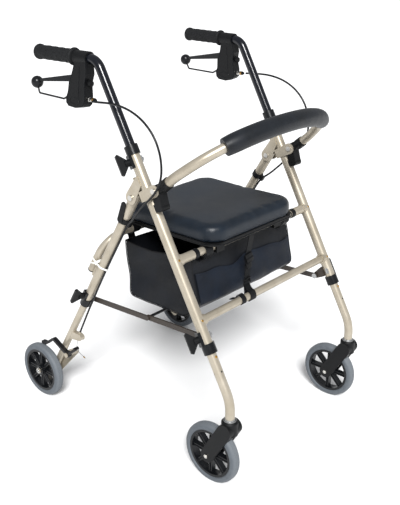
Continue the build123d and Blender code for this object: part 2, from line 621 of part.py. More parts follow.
grip_plane = Plane(origin=along_grip(GRIP_Y[0]), x_dir=GRIP_RUN, z_dir=(1, 0, 0))
grip_len = (along_grip(GRIP_Y[1]) - along_grip(GRIP_Y[0])).length
grip_outline = Polygon((0, INNER_R + 0.02), (0, FLANGE_R - 2), (2, FLANGE_R), (7, FLANGE_R),
                       (11, GRIP_R - 0.8), (40, GRIP_R), (60, GRIP_R - 0.8), (100, GRIP_R),
                       (grip_len - 8, GRIP_R + 1), (grip_len - 2, GRIP_R), (grip_len, GRIP_R - 3),
                       (grip_len, 0), (grip_len - 4, 0), (grip_len - 4, INNER_R + 0.02), align=None)
grip_axis = Axis(along_grip(GRIP_Y[0]), GRIP_RUN)
grip = revolve(grip_plane * grip_outline, axis=grip_axis)
save_sides("grip", grip)

# brake body, drawn upright under the grip's axis and then leaned outward about that axis
BODY_HALF = 12.0
SLOT_HALF = 5.5
body_outline = Polygon((66, 934), (62, 906), (68, 884), (64, 858), (66, 840), (74, 833), (96, 828),
                       (120, 830), (128, 837), (129, 848), (123, 862), (121, 884), (111, 904),
                       (106, 925), (106, 934), align=None)
clamp_x = along_grip(90).X
lean_at = along_grip(90)
lean = Location(lean_at) * Rot(0, -BRAKE_TILT, 0) * Location(lean_at * -1)
body = side_face(body_outline, clamp_x - BODY_HALF, clamp_x + BODY_HALF)
body = fillet(body.edges().filter_by(GeomType.LINE).group_by(SortBy.LENGTH)[0], 1.5)
slot = box((clamp_x - SLOT_HALF, clamp_x + SLOT_HALF), (74, 160), (838, 917))
body -= slot
body += across(*LEVER_PIVOT, clamp_x - BODY_HALF, clamp_x + BODY_HALF, BOLT_R - 0.5)
ferrule = bar((clamp_x, 72, 849.5), (clamp_x, 42, 851.4), 3.8)
ferrule += bar((clamp_x, 50, 850.8), (clamp_x, 44, 851.2), 4.8)
body = lean * (body + ferrule)
clamp_ring = bar(along_grip(CLAMP_Y[0]), along_grip(CLAMP_Y[1]), 15.4)
body = body + clamp_ring - swept(handle_path, INNER_R + 0.02)
save_sides("brake_housing", body)

lever = side_plate([(*LEVER_PIVOT, 8), (112, 893, 8)], clamp_x - 4.5, clamp_x + 4.5)
lever += side_plate([(112, 893, 8), (237, 875, 3.2)], clamp_x - 4.5, clamp_x + 4.5)
lever += side_plate([(*LEVER_PIVOT, 8), (124, 855, 6)], clamp_x - 4.5, clamp_x + 4.5)
ball = Pos(clamp_x, *BALL) * Sphere(14.5)
wire_path = FilletPolyline((clamp_x, 126, 855), (clamp_x, 150, 842), (clamp_x, 240, 844.5),
                           (clamp_x, 247, 859), radius=4)
lever = lever + ball + swept(wire_path, 2.3)
lever -= across(*LEVER_PIVOT, clamp_x - 20, clamp_x + 20, BOLT_R - 0.5 + FIT)
save_sides("brake_lever", lean * lever)

# ---- seat --------------------------------------------------------------------------------
seat_y_mid = sum(SEAT_Y) / 2
seat_outline = RectangleRounded(2 * SEAT_HALF_W, SEAT_Y[1] - SEAT_Y[0], SEAT_CORNER_R)
pad = extrude(Pos(0, seat_y_mid, SEAT_RIM_Z) * seat_outline, amount=SEAT_Z[1] - SEAT_RIM_Z)
pad = fillet(pad.edges().group_by(Axis.Z)[-1], 14)


def board_outline(grow):
    """The seat board, grown on all sides."""
    inset = BOARD_INSET - grow
    return RectangleRounded(2 * (SEAT_HALF_W - inset), SEAT_Y[1] - SEAT_Y[0] - 2 * inset,
                            SEAT_CORNER_R - inset)


pad -= extrude(Pos(0, seat_y_mid, SEAT_RIM_Z - 1) * board_outline(0.3), amount=SEAT_Z[0] - SEAT_RIM_Z + 1)
save("seat_pad", pad)
board = extrude(Pos(0, seat_y_mid, BASE_Z) * board_outline(0), amount=SEAT_Z[0] - BASE_Z)
bar_y, bar_z = yz(front(SEAT_BAR_S))
for side in (-1, 1):
    board += box(sorted((side * 98, side * 126)), (bar_y - 13, bar_y + 13), (bar_z - 13, BASE_Z + 1))
board -= across(bar_y, bar_z, -LEG_X, LEG_X, BAR_R + FIT)
spacer = across(bar_y, bar_z, 183, 195.6, 12) - across(bar_y, bar_z, 180, 200, BAR_R + FIT)
save("seat_base", board, spacer, mirrored(spacer))

# ---- bag ---------------------------------------------------------------------------------
bag_outline = Polygon((-171, BAG_TOP_Z), (-198, 392), (-152, 354), (32, 352), (44, BAG_TOP_Z - 12),
                      align=None)
bag = side_face(bag_outline, -BAG_HALF_W, BAG_HALF_W)
bag = fillet(bag.edges().filter_by(Axis.X), BAG_EDGE_R)
save("storage_bag", bag)

# ---- backrest ----------------------------------------------------------------------------
HOOP_RUN = Vector(0, -cos(radians(HOOP_SLOPE)), sin(radians(HOOP_SLOPE)))
hoop_root = Vector(LEG_X, *HOOP_START)


def hoop_point(angle):
    """A point on the hoop's rounded curve, at an angle round from the left root."""
    c, s = cos(radians(angle)), sin(radians(angle))
    x = LEG_X * abs(c) ** (2 / HOOP_SQUARENESS) * (1 if c > 0 else -1)
    return Vector(x, *HOOP_START) + HOOP_RUN * (HOOP_REACH * abs(s) ** (2 / HOOP_SQUARENESS))


# the hoop is a chain of tangent arcs: straight out of its sockets, then round the curve
curve = [hoop_point(90 + HOOP_STEP * k) for k in range(-3, 4)]
hoop_points = [hoop_root - HOOP_RUN * SOCKET_DEPTH, hoop_root + HOOP_RUN * HOOP_STRAIGHT]
hoop_points += curve + [Vector(-p.X, p.Y, p.Z) for p in reversed(hoop_points)]
hoop_radii = cord_radii(hoop_points, 0.49)
save("backrest_hoop", swept(FilletPolyline(*hoop_points, radius=hoop_radii), HOOP_R, HOOP_R - WALL))
foam_end = curve[0] + (curve[1] - curve[0]) * FOAM_FROM
foam_points = [foam_end] + curve[1:-1] + [Vector(-foam_end.X, foam_end.Y, foam_end.Z)]
save("backrest_foam", swept(FilletPolyline(*foam_points, radius=hoop_radii[2:-2]), FOAM_R, HOOP_R + 0.02))

# each end of the hoop sits in a socket that turns on the front bracket's bolt and has a foot
# that rests on the front of the leg
socket_x = (LEG_X - PLATE_IN + 0.15, LEG_X + PLATE_IN - 0.15)
socket_base = hoop_root - HOOP_RUN * 10
socket = side_plate([(*yz(BACK_BOLT), 12), (*yz(socket_base), 9)], *socket_x)
socket += side_plate([(*yz(BACK_BOLT), 12), (-148, 646, 9)], *socket_x)
socket += side_plate([(-151, 643, 8), (-138, 640, 9)], *socket_x)
socket += bar(hoop_root - HOOP_RUN * (SOCKET_DEPTH + 2), hoop_root + HOOP_RUN * 4, SOCKET_R)
socket -= bar(hoop_root - HOOP_RUN * SOCKET_DEPTH, hoop_root + HOOP_RUN * 30, HOOP_R)
leg_side = Plane(origin=front(450, -LEG_R - 0.1), x_dir=(1, 0, 0), z_dir=LEG_BACK)
socket -= extrude(leg_side * Rectangle(80, 400), amount=80)
socket -= across(*yz(BACK_BOLT), LEG_X - 30, LEG_X + 30, BOLT_R + FIT)
save_pair("backrest_sockets", socket)
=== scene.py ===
from math import cos, pi, radians, sin, sqrt

import bmesh
import bpy
from mathutils import Matrix, Vector, noise


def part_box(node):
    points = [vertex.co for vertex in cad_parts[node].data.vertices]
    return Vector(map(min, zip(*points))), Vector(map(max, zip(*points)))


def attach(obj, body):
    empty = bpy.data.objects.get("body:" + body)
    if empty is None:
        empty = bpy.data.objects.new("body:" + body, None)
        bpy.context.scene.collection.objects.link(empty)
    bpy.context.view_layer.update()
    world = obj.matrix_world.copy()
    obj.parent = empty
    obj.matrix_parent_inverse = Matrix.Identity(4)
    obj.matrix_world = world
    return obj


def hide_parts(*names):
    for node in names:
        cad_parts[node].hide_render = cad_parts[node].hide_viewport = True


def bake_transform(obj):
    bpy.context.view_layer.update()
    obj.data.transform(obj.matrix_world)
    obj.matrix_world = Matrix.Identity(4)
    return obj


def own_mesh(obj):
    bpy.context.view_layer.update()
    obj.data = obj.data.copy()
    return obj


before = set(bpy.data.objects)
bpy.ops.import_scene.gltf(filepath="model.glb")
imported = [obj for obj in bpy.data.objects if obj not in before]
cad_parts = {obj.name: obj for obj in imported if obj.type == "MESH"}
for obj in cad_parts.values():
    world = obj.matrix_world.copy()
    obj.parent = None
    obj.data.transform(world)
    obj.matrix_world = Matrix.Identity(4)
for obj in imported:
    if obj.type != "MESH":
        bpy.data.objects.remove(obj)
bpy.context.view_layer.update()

scene = bpy.context.scene
scene.view_settings.view_transform = "Standard"

MM = 0.001
LEFT, RIGHT = 1, -1
SIGNS = (LEFT, RIGHT)
SIDES = (("left", LEFT), ("right", RIGHT))


# ---- places on the frame, in metres --------------------
LEG_X = 0.252
FRONT_RAKE = radians(29.0)
REAR_RAKE = radians(30.9)
BEND = Vector((0, -0.348, 0.231))
LEG_UP = Vector((0, sin(FRONT_RAKE), cos(FRONT_RAKE)))
LEG_BACK = Vector((0, cos(FRONT_RAKE), -sin(FRONT_RAKE)))
REAR_DOWN = Vector((0, sin(REAR_RAKE), -cos(REAR_RAKE)))
REAR_BACK = Vector((0, cos(REAR_RAKE), sin(REAR_RAKE)))


def front_leg(up, behind=0.0, x=0.252):
    """A point beside the front leg: up it from its bend, and behind its axis."""
    return BEND + LEG_UP * up + LEG_BACK * behind + Vector((x, 0, 0))


PIVOT = front_leg(0.5033, 0.0457, 0.0)


def rear_leg(down, behind=0.0, x=0.252):
    """A point beside the rear leg: down it from its pivot, and behind its axis."""
    return PIVOT + REAR_DOWN * down + REAR_BACK * behind + Vector((x, 0, 0))


# ---- camera, floor and light --------------------
def studio():
    camera_data = bpy.data.cameras.new("camera")
    camera_data.sensor_fit = "HORIZONTAL"
    camera_data.sensor_width = 36.0
    camera_data.lens = 762.7 * 36.0 / 400.0
    camera_data.clip_end = 100.0
    camera = bpy.data.objects.new("camera", camera_data)
    scene.collection.objects.link(camera)
    heading, dip, roll = radians(48.84), radians(21.93), radians(0.26)
    forward = Vector((sin(heading) * cos(dip), cos(heading) * cos(dip), -sin(dip)))
    turn = forward.to_track_quat("-Z", "Y").to_matrix().to_4x4() @ Matrix.Rotation(roll, 4, "Z")
    camera.matrix_world = Matrix.Translation((-1.3848, -1.2471, 1.1714)) @ turn
    scene.camera = camera

    bpy.ops.object.select_all(action="DESELECT")
    bpy.ops.mesh.primitive_plane_add(size=80.0)
    floor = bpy.context.object
    floor.name = "floor"

    sun_data = bpy.data.lights.new("sun", "SUN")
    sun_data.energy = 4.6
    sun_data.angle = radians(18)
    sun = bpy.data.objects.new("sun", sun_data)
    sun.rotation_euler = Vector((0.62, 0.60, -0.72)).to_track_quat("-Z", "Y").to_euler()
    scene.collection.objects.link(sun)

    world = bpy.data.worlds.new("studio")
    world.use_nodes = True
    world.node_tree.nodes["Background"].inputs["Color"].default_value = (0.97, 0.98, 1.0, 1)
    world.node_tree.nodes["Background"].inputs["Strength"].default_value = 0.46
    scene.world = world
    return floor


# ---- materials --------------------
def srgb(code):
    """The linear colour of an sRGB hex code."""
    parts = [int(code[i:i + 2], 16) / 255 for i in (1, 3, 5)]
    return [v / 12.92 if v <= 0.04045 else ((v + 0.055) / 1.055) ** 2.4 for v in parts] + [1.0]


def add(tree, kind, settings=None, **inputs):
    """Adds a node: settings are its own properties, inputs are values or sockets to link."""
    node = tree.nodes.new(kind)
    for name, value in (settings or {}).items():
        setattr(node, name, value)
    for name, value in inputs.items():
        socket = node.inputs[int(name[1:])] if name[1:].isdigit() else node.inputs[name.replace("_", " ")]
        if isinstance(value, bpy.types.NodeSocket):
            tree.links.new(value, socket)
        else:
            socket.default_value = value
    return node


def blank(name):
    """An empty material with its shader, and the Object coordinate in millimetres."""
    material = bpy.data.materials.new(name)
    material.use_nodes = True
    tree = material.node_tree
    shader = tree.nodes["Principled BSDF"]
    place = add(tree, "ShaderNodeTexCoord").outputs["Object"]
    return material, tree, shader, place


def grain(tree, place, size_mm, detail=3.0, roughness=0.55):
    """Noise whose lumps are about size_mm across."""
    return add(tree, "ShaderNodeTexNoise", Vector=place, Scale=1000.0 / size_mm, Detail=detail,
               Roughness=roughness).outputs["Fac"]


def between(tree, amount, low, high):
    """Maps amount, mostly 0.3 to 0.7, onto low to high."""
    return add(tree, "ShaderNodeMapRange", Value=amount, From_Min=0.3, From_Max=0.7,
               To_Min=low, To_Max=high).outputs["Result"]


def tint(tree, amount, dark, light):
    """A colour between two hex codes."""
    return add(tree, "ShaderNodeMix", {"data_type": "RGBA"}, i0=amount, i6=srgb(dark),
               i7=srgb(light)).outputs[2]


def bump(tree, shader, height, depth_mm, under=None):
    inputs = dict(Height=height, Strength=1.0, Distance=depth_mm * MM)
    if under is not None:
        inputs["Normal"] = under
    normal = add(tree, "ShaderNodeBump", **inputs).outputs["Normal"]
    tree.links.new(normal, shader.inputs["Normal"])
    return normal


def coated(name, dark, light, metallic, rough, patch_mm, grit_mm, grit_depth, coat=0.0, shine=0.5):
    """A painted or moulded finish: slow colour patches, a finer grit, uneven gloss."""
    material, tree, shader, place = blank(name)
    patches = grain(tree, place, patch_mm, 4.0)
    grit = grain(tree, place, grit_mm, 2.0)
    tree.links.new(tint(tree, patches, dark, light), shader.inputs["Base Color"])
    uneven = add(tree, "ShaderNodeMath", {"operation": "MULTIPLY"}, i0=patches, i1=grit)
    tree.links.new(add(tree, "ShaderNodeMapRange", Value=uneven.outputs[0], From_Min=0.1, From_Max=0.45,
                       To_Min=rough[0], To_Max=rough[1]).outputs["Result"], shader.inputs["Roughness"])
    shader.inputs["Metallic"].default_value = metallic
    shader.inputs["Specular IOR Level"].default_value = shine
    shader.inputs["Coat Weight"].default_value = coat
    shader.inputs["Coat Roughness"].default_value = 0.15
    bump(tree, shader, grit, grit_depth)
    return material


def champagne_powder_coat():
    """Aluminium tube in champagne metallic powder coat: warm silver, satin, with the fine orange
    peel and sparkle that the powder leaves."""
    material, tree, shader, place = blank("champagne_powder_coat")
    patches = grain(tree, place, 60.0, 4.0)
    peel = grain(tree, place, 1.6, 2.0)
    flake = grain(tree, place, 0.7, 1.0)
    base = tint(tree, between(tree, patches, 0.0, 1.0), "#a79e8d", "#bcb4a5")
    sparkle = add(tree, "ShaderNodeMix", {"data_type": "RGBA", "blend_type": "MULTIPLY"},
                  i0=0.35, i6=base, i7=tint(tree, between(tree, flake, 0.0, 1.0), "#c8c4bc", "#ffffff"))
    tree.links.new(sparkle.outputs[2], shader.inputs["Base Color"])
    tree.links.new(between(tree, flake, 0.30, 0.42), shader.inputs["Roughness"])
    shader.inputs["Metallic"].default_value = 0.5
    bump(tree, shader, peel, 0.05)
    return material


def zinc_plated_steel():
    """Pressed steel with bright zinc: cool grey, faint spangle, light scratches."""
    return coated("zinc_plated_steel", "#9d9e9e", "#c3c4c4", 1.0, (0.26, 0.42), 6.0, 0.8, 0.01)


def bright_nickel():
    """Bolt heads and nuts: nickel plate, nearly a mirror, with tool marks."""
    return coated("bright_nickel", "#b8b6b1", "#d6d4cf", 1.0, (0.14, 0.28), 9.0, 0.9, 0.01)


def brass_button():
    """Turned brass, slightly dulled."""
    return coated("brass_button", "#a37c3c", "#c79c55", 1.0, (0.22, 0.36), 5.0, 0.6, 0.01)


def black_moulded_nylon():
    """Injection-moulded nylon: black with a fine spark-eroded texture, greyer where it catches light."""
    return coated("black_moulded_nylon", "#08090a", "#111214", 0.0, (0.42, 0.6), 14.0, 0.9, 0.035,
                  shine=0.2)


def black_glossy_abs():
    """Smooth moulded ABS: black with a soft shine and faint flow marks."""
    return coated("black_glossy_abs", "#0d0e10", "#15171a", 0.0, (0.22, 0.36), 25.0, 1.4, 0.012, shine=0.24)


def black_gloss_enamel():
    """Black stoving enamel on the handle tubes: deep gloss, black, with a blue cast in its base colour that
    is a painted reflection of the sky.
    """
    # the blue in these two colours is a painted reflection of the sky on the black paint
    return coated("black_gloss_enamel", "#07090f", "#0c1019", 0.0, (0.16, 0.26), 40.0, 2.2, 0.02, coat=0.25,
                  shine=0.3)


def umber_strut_enamel():
    """Flat steel bars in dark umber enamel, rubbed a little lighter in patches."""
    return coated("umber_strut_enamel", "#29231f", "#3a332d", 0.15, (0.42, 0.58), 20.0, 1.1, 0.03)


def black_brake_enamel():
    """Black enamel on the brake arms, semi-gloss."""
    return coated("black_brake_enamel", "#0b0b0d", "#141417", 0.1, (0.30, 0.46), 16.0, 1.2, 0.02,
                  shine=0.25)


def white_nylon():
    """Cable ties: milky white nylon."""
    material = coated("white_nylon", "#d3d3cf", "#e8e8e4", 0.0, (0.36, 0.5), 8.0, 0.8, 0.01)
    return material


def cable_jacket():
    """Extruded black PVC over spring steel: smooth, a soft shine, faint rings of the coil beneath."""
    return coated("cable_jacket", "#0b0c0e", "#131518", 0.0, (0.26, 0.4), 20.0, 1.0, 0.02, shine=0.25)


def grip_foam_rubber():
    """Soft moulded rubber grips: dull black with a pebbled skin."""
    material, tree, shader, place = blank("grip_foam_rubber")
    patches = grain(tree, place, 18.0, 3.0)
    pebbles = add(tree, "ShaderNodeTexVoronoi", {"feature": "SMOOTH_F1"}, Vector=place, Scale=1000.0 / 2.1,
                  Smoothness=0.6).outputs["Distance"]
    dust = grain(tree, place, 1.1, 2.0)
    tree.links.new(tint(tree, between(tree, pebbles, 0.0, 1.0), "#1b1c1e", "#0d0e0f"),
                   shader.inputs["Base Color"])
    tree.links.new(between(tree, patches, 0.62, 0.8), shader.inputs["Roughness"])
    shader.inputs["Specular IOR Level"].default_value = 0.22
    first = bump(tree, shader, pebbles, 0.30)
    bump(tree, shader, dust, 0.05, first)
    return material


def grey_tyre_rubber(name, centre):
    """Solid grey PU tyre: matt, dusty on the tread, with fine moulded rings."""
    material, tree, shader, place = blank(name)
    patches = grain(tree, place, 12.0, 4.0)
    dust = grain(tree, place, 0.9, 2.0)
    moved = add(tree, "ShaderNodeVectorMath", {"operation": "SUBTRACT"}, i0=place, i1=centre).outputs[0]
    flat = add(tree, "ShaderNodeVectorMath", {"operation": "MULTIPLY"}, i0=moved, i1=(0, 1, 1)).outputs[0]
    radius = add(tree, "ShaderNodeVectorMath", {"operation": "LENGTH"}, i0=flat).outputs["Value"]
    worn = add(tree, "ShaderNodeMapRange", Value=radius, From_Min=0.0695, From_Max=0.076).outputs["Result"]
    wall = tint(tree, between(tree, patches, 0.0, 1.0), "#494e54", "#555b61")
    tread = tint(tree, between(tree, dust, 0.0, 1.0), "#555a5f", "#6a6f74")
    colour = add(tree, "ShaderNodeMix", {"data_type": "RGBA"}, i0=worn, i6=wall, i7=tread)
    tree.links.new(colour.outputs[2], shader.inputs["Base Color"])
    tree.links.new(between(tree, patches, 0.55, 0.72), shader.inputs["Roughness"])
    bump(tree, shader, dust, 0.04)
    return material


def seat_vinyl():
    """Smooth black PU skin over foam: a fine leather grain that only shows in the sheen. The black is the
    skin's own; the blue cast of its base colour is a painted reflection of the sky.
    """
    material, tree, shader, place = blank("seat_vinyl")
    slow = grain(tree, place, 70.0, 3.0)
    cells = add(tree, "ShaderNodeTexVoronoi", {"feature": "DISTANCE_TO_EDGE"}, Vector=place,
                Scale=1000.0 / 1.8).outputs["Distance"]
    pores = grain(tree, place, 1.0, 2.0)
    # the blue cast of these colours is a painted reflection of the sky on the black skin
    tree.links.new(tint(tree, between(tree, slow, 0.0, 1.0), "#0f161e", "#151e28"),
                   shader.inputs["Base Color"])
    tree.links.new(between(tree, slow, 0.32, 0.40), shader.inputs["Roughness"])
    shader.inputs["Specular IOR Level"].default_value = 0.32
    crease = add(tree, "ShaderNodeMapRange", Value=cells, From_Min=0.0, From_Max=0.12).outputs["Result"]
    first = bump(tree, shader, crease, 0.05)
    bump(tree, shader, pores, 0.02, first)
    return material


def bag_nylon(name="bag_nylon", dark="#0c0e12", light="#13161c"):
    """Coated nylon packcloth: blue-black, a basket weave about 1.4 mm, drawn at 2 mm so that it
    shows, with a soft sheen and slow creases."""
    material, tree, shader, place = blank(name)
    slow = grain(tree, place, 45.0, 4.0)
    split = add(tree, "ShaderNodeSeparateXYZ", Vector=place)
    waves = []
    for a, b in (("X", "Z"), ("Y", "Z")):
        pair = []
        for axis in (a, b):
            scaled = add(tree, "ShaderNodeMath", {"operation": "MULTIPLY"}, i0=split.outputs[axis],
                         i1=2 * pi / 0.002)
            pair.append(add(tree, "ShaderNodeMath", {"operation": "SINE"}, i0=scaled.outputs[0]).outputs[0])
        waves.append(add(tree, "ShaderNodeMath", {"operation": "MULTIPLY"}, i0=pair[0],
                         i1=pair[1]).outputs[0])
    weave = add(tree, "ShaderNodeMath", {"operation": "ADD"}, i0=waves[0], i1=waves[1]).outputs[0]
    tree.links.new(tint(tree, between(tree, slow, 0.0, 1.0), dark, light),
                   shader.inputs["Base Color"])
    tree.links.new(between(tree, slow, 0.42, 0.56), shader.inputs["Roughness"])
    shader.inputs["Specular IOR Level"].default_value = 0.18
    shader.inputs["Sheen Weight"].default_value = 0.03
    shader.inputs["Sheen Roughness"].default_value = 0.5
    first = bump(tree, shader, weave, 0.05)
    bump(tree, shader, slow, 1.2, first)
    return material


def webbing():
    """Black polypropylene webbing: ribs 1.5 mm apart across the strap."""
    material, tree, shader, place = blank("webbing")
    ribs = add(tree, "ShaderNodeTexWave", {"bands_direction": "DIAGONAL"}, Vector=place,
               Scale=1000.0 / 1.5 / 6.28, Distortion=0.4, Detail=1.0).outputs["Fac"]
    tree.links.new(tint(tree, ribs, "#08090a", "#141518"), shader.inputs["Base Color"])
    shader.inputs["Roughness"].default_value = 0.55
    shader.inputs["Specular IOR Level"].default_value = 0.2
    bump(tree, shader, ribs, 0.25)
    return material


def backrest_foam_skin():
    """Black closed-cell foam sleeve: satin skin with fine cells and slow dents."""
    material, tree, shader, place = blank("backrest_foam_skin")
    slow = grain(tree, place, 35.0, 3.0)
    cells = add(tree, "ShaderNodeTexVoronoi", Vector=place, Scale=1000.0 / 1.2).outputs["Distance"]
    tree.links.new(tint(tree, between(tree, slow, 0.0, 1.0), "#101317", "#181c22"),
                   shader.inputs["Base Color"])
    tree.links.new(between(tree, slow, 0.40, 0.50), shader.inputs["Roughness"])
    shader.inputs["Specular IOR Level"].default_value = 0.3
    first = bump(tree, shader, slow, 0.5)
    bump(tree, shader, cells, 0.06, first)
    return material


def pale_floor():
    material, tree, shader, place = blank("pale_floor")
    slow = grain(tree, place, 900.0, 2.0)
    tree.links.new(tint(tree, slow, "#f6f6f6", "#fafafa"), shader.inputs["Base Color"])
    shader.inputs["Roughness"].default_value = 0.9
    shader.inputs["Specular IOR Level"].default_value = 0.1
    return material


floor = studio()
floor.data.materials.append(pale_floor())

CHAMPAGNE = champagne_powder_coat()
ZINC = zinc_plated_steel()
NICKEL = bright_nickel()
BRASS = brass_button()
NYLON = black_moulded_nylon()
ABS = black_glossy_abs()
HANDLE_ENAMEL = black_gloss_enamel()
STRUT_ENAMEL = umber_strut_enamel()
BRAKE_ENAMEL = black_brake_enamel()
WHITE_NYLON = white_nylon()
JACKET = cable_jacket()
GRIP_RUBBER = grip_foam_rubber()
VINYL = seat_vinyl()
PACKCLOTH = bag_nylon()
POCKET_CLOTH = bag_nylon("pocket_nylon", "#0c111a", "#131b27")
WEBBING = webbing()
FOAM_SKIN = backrest_foam_skin()

NODE_FINISH = {
    "front_leg": CHAMPAGNE, "seat_crossbar": CHAMPAGNE, "lower_crossbar": CHAMPAGNE,
    "leg_brackets": CHAMPAGNE,
    "bracket_bolts": NICKEL, "handle_collars": ABS, "front_clamp_collars": ABS, "front_leg_fasteners": ZINC,
    "strut_tabs": STRUT_ENAMEL, "storage_bag": PACKCLOTH, "brake_cables": JACKET, "seat_pad": VINYL,
    "seat_base": NYLON, "backrest_hoop": CHAMPAGNE, "backrest_foam": FOAM_SKIN, "backrest_sockets": NYLON,
    "rear_leg": CHAMPAGNE, "rear_crossbar": CHAMPAGNE, "cable_ties": WHITE_NYLON, "rear_clamp_collars": ABS,
    "rear_leg_fasteners": ZINC, "cable_clips": NYLON, "front_struts": STRUT_ENAMEL,
    "link_rod": BRAKE_ENAMEL,
    "rear_strut": STRUT_ENAMEL, "handle_tube": HANDLE_ENAMEL, "grip": GRIP_RUBBER, "brake_housing": NYLON,
    "brake_lever": ABS, "handle_knob": NYLON, "front_leg_knob": NYLON, "rear_leg_knob": NYLON,
    "front_extension": CHAMPAGNE, "caster_fork": NYLON, "caster_axle": NICKEL, "front_rim": ABS,
    "rear_rim": ABS, "rear_extension": CHAMPAGNE, "brake_arm": BRAKE_ENAMEL,
    "front_tyre": None, "rear_tyre": None,
}


def coat(thing, finish):
    thing.data.materials.clear()
    thing.data.materials.append(finish)
    for face in thing.data.polygons:
        face.material_index = 0


# ---- modelling helpers --------------------
def fresh(kind, **values):
    """Adds a primitive with nothing else selected, its place and size put into its mesh."""
    bpy.ops.object.select_all(action="DESELECT")
    getattr(bpy.ops.mesh, f"primitive_{kind}_add")(**values)
    bpy.ops.object.transform_apply(location=True, rotation=True, scale=True)
    return bpy.context.object


def choose(thing):
    bpy.ops.object.select_all(action="DESELECT")
    thing.select_set(True)
    bpy.context.view_layer.objects.active = thing


def pick(thing, kind, test):
    """In edit mode, selects only the edges, faces or verts whose middle passes the test."""
    bpy.ops.mesh.select_all(action="DESELECT")
    bpy.ops.mesh.select_mode(type=kind)
    shape = bmesh.from_edit_mesh(thing.data)
    for item in {"VERT": shape.verts, "EDGE": shape.edges, "FACE": shape.faces}[kind]:
        if kind == "VERT":
            middle = item.co
        else:
            middle = sum((v.co for v in item.verts), Vector()) / len(item.verts)
        item.select_set(bool(test(item, middle)))
    bmesh.update_edit_mesh(thing.data)


def modify(thing, kind, **values):
    """Adds a modifier and applies it."""
    choose(thing)
    modifier = thing.modifiers.new(kind.lower(), kind)
    for name, value in values.items():
        setattr(modifier, name, value)
    bpy.ops.object.modifier_apply(modifier=modifier.name)


def close_up(thing, angle=40.0, outward=True):
    """Merges doubles, turns the faces outward and smooths all but the sharp edges."""
    choose(thing)
    bpy.ops.object.mode_set(mode="EDIT")
    bpy.ops.mesh.select_all(action="SELECT")
    bpy.ops.mesh.remove_doubles(threshold=0.00001)
    if outward:
        bpy.ops.mesh.normals_make_consistent(inside=False)
    bpy.ops.object.mode_set(mode="OBJECT")
    bpy.ops.object.shade_smooth_by_angle(angle=radians(angle))


def dress(thing, name, body, finish, replaces=()):
    """Names a finished piece, gives it its material and, when a body is given, the body it moves with."""
    thing.name = name
    thing.data.name = name
    coat(thing, finish)
    if body:
        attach(thing, body)
    if replaces:
        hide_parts(*replaces)
    return thing


def turned(start, run, profile, steps=40, angle=35.0):
    """A round piece modelled ring by ring along run; profile is (along, radius) pairs in mm."""
    run = Vector(run).normalized()
    along, radius = profile[0]
    piece = fresh("circle", vertices=steps, radius=radius * MM, fill_type="NGON",
                  location=Vector(start) + run * along * MM,
                  rotation=run.to_track_quat("Z", "Y").to_euler())
    bpy.ops.object.mode_set(mode="EDIT")
    bpy.ops.mesh.select_all(action="SELECT")
    for (a0, r0), (a1, r1) in zip(profile, profile[1:]):
        bpy.ops.mesh.extrude_region_move(TRANSFORM_OT_translate={"value": run * (a1 - a0) * MM})
        bpy.ops.transform.resize(value=(r1 / r0,) * 3, center_override=Vector(start) + run * a1 * MM)
    bpy.ops.object.mode_set(mode="OBJECT")
    close_up(piece, angle)
    return piece


def spun(loop, centre, steps=96, angle=35.0):
    """A closed section of (x, radius) pairs in mm, spun round the X axis through centre."""
    piece = fresh("circle", vertices=len(loop), radius=0.01, location=centre)
    for vert, (x, radius) in zip(piece.data.vertices, loop):
        vert.co = Vector(centre) + Vector((x, 0, radius)) * MM
    bpy.ops.object.mode_set(mode="EDIT")
    bpy.ops.mesh.select_all(action="SELECT")
    bpy.ops.mesh.spin(steps=steps, angle=2 * pi, center=centre, axis=(1, 0, 0))
    bpy.ops.object.mode_set(mode="OBJECT")
    close_up(piece, angle)
    return piece


def strand(points, radius_mm, order=3, taper=None, ring=5):
    """A round strand along points, as a mesh."""
    data = bpy.data.curves.new("strand", "CURVE")
    data.dimensions = "3D"
    data.bevel_depth = radius_mm * MM
    data.bevel_resolution = ring
    data.resolution_u = 8
    data.use_fill_caps = True
    spline = data.splines.new("NURBS" if order > 2 else "POLY")
    spline.points.add(len(points) - 1)
    for index, (point, target) in enumerate(zip(points, spline.points)):
        target.co = (*point, 1)
        if taper:
            target.radius = taper(index / (len(points) - 1))
    if order > 2:
        spline.order_u = order
        spline.use_endpoint_u = True
    strand_object = bpy.data.objects.new("strand", data)
    scene.collection.objects.link(strand_object)
    choose(strand_object)
    bpy.ops.object.convert(target="MESH")
    strand_object = bpy.context.object
    close_up(strand_object, 60.0)
    return strand_object


def line_of(points, resolution=10):
    """The points that a smooth NURBS line through the route passes."""
    data = bpy.data.curves.new("line", "CURVE")
    data.dimensions = "3D"
    data.resolution_u = resolution
    spline = data.splines.new("NURBS")
    spline.points.add(len(points) - 1)
    for point, target in zip(points, spline.points):
        target.co = (*point, 1)
    spline.order_u = 3
    spline.use_endpoint_u = True
    holder = bpy.data.objects.new("line", data)
    scene.collection.objects.link(holder)
    bpy.context.view_layer.update()
    mesh = bpy.data.meshes.new_from_object(holder.evaluated_get(bpy.context.evaluated_depsgraph_get()))
    line = [v.co.copy() for v in mesh.vertices]
    bpy.data.objects.remove(holder)
    return line


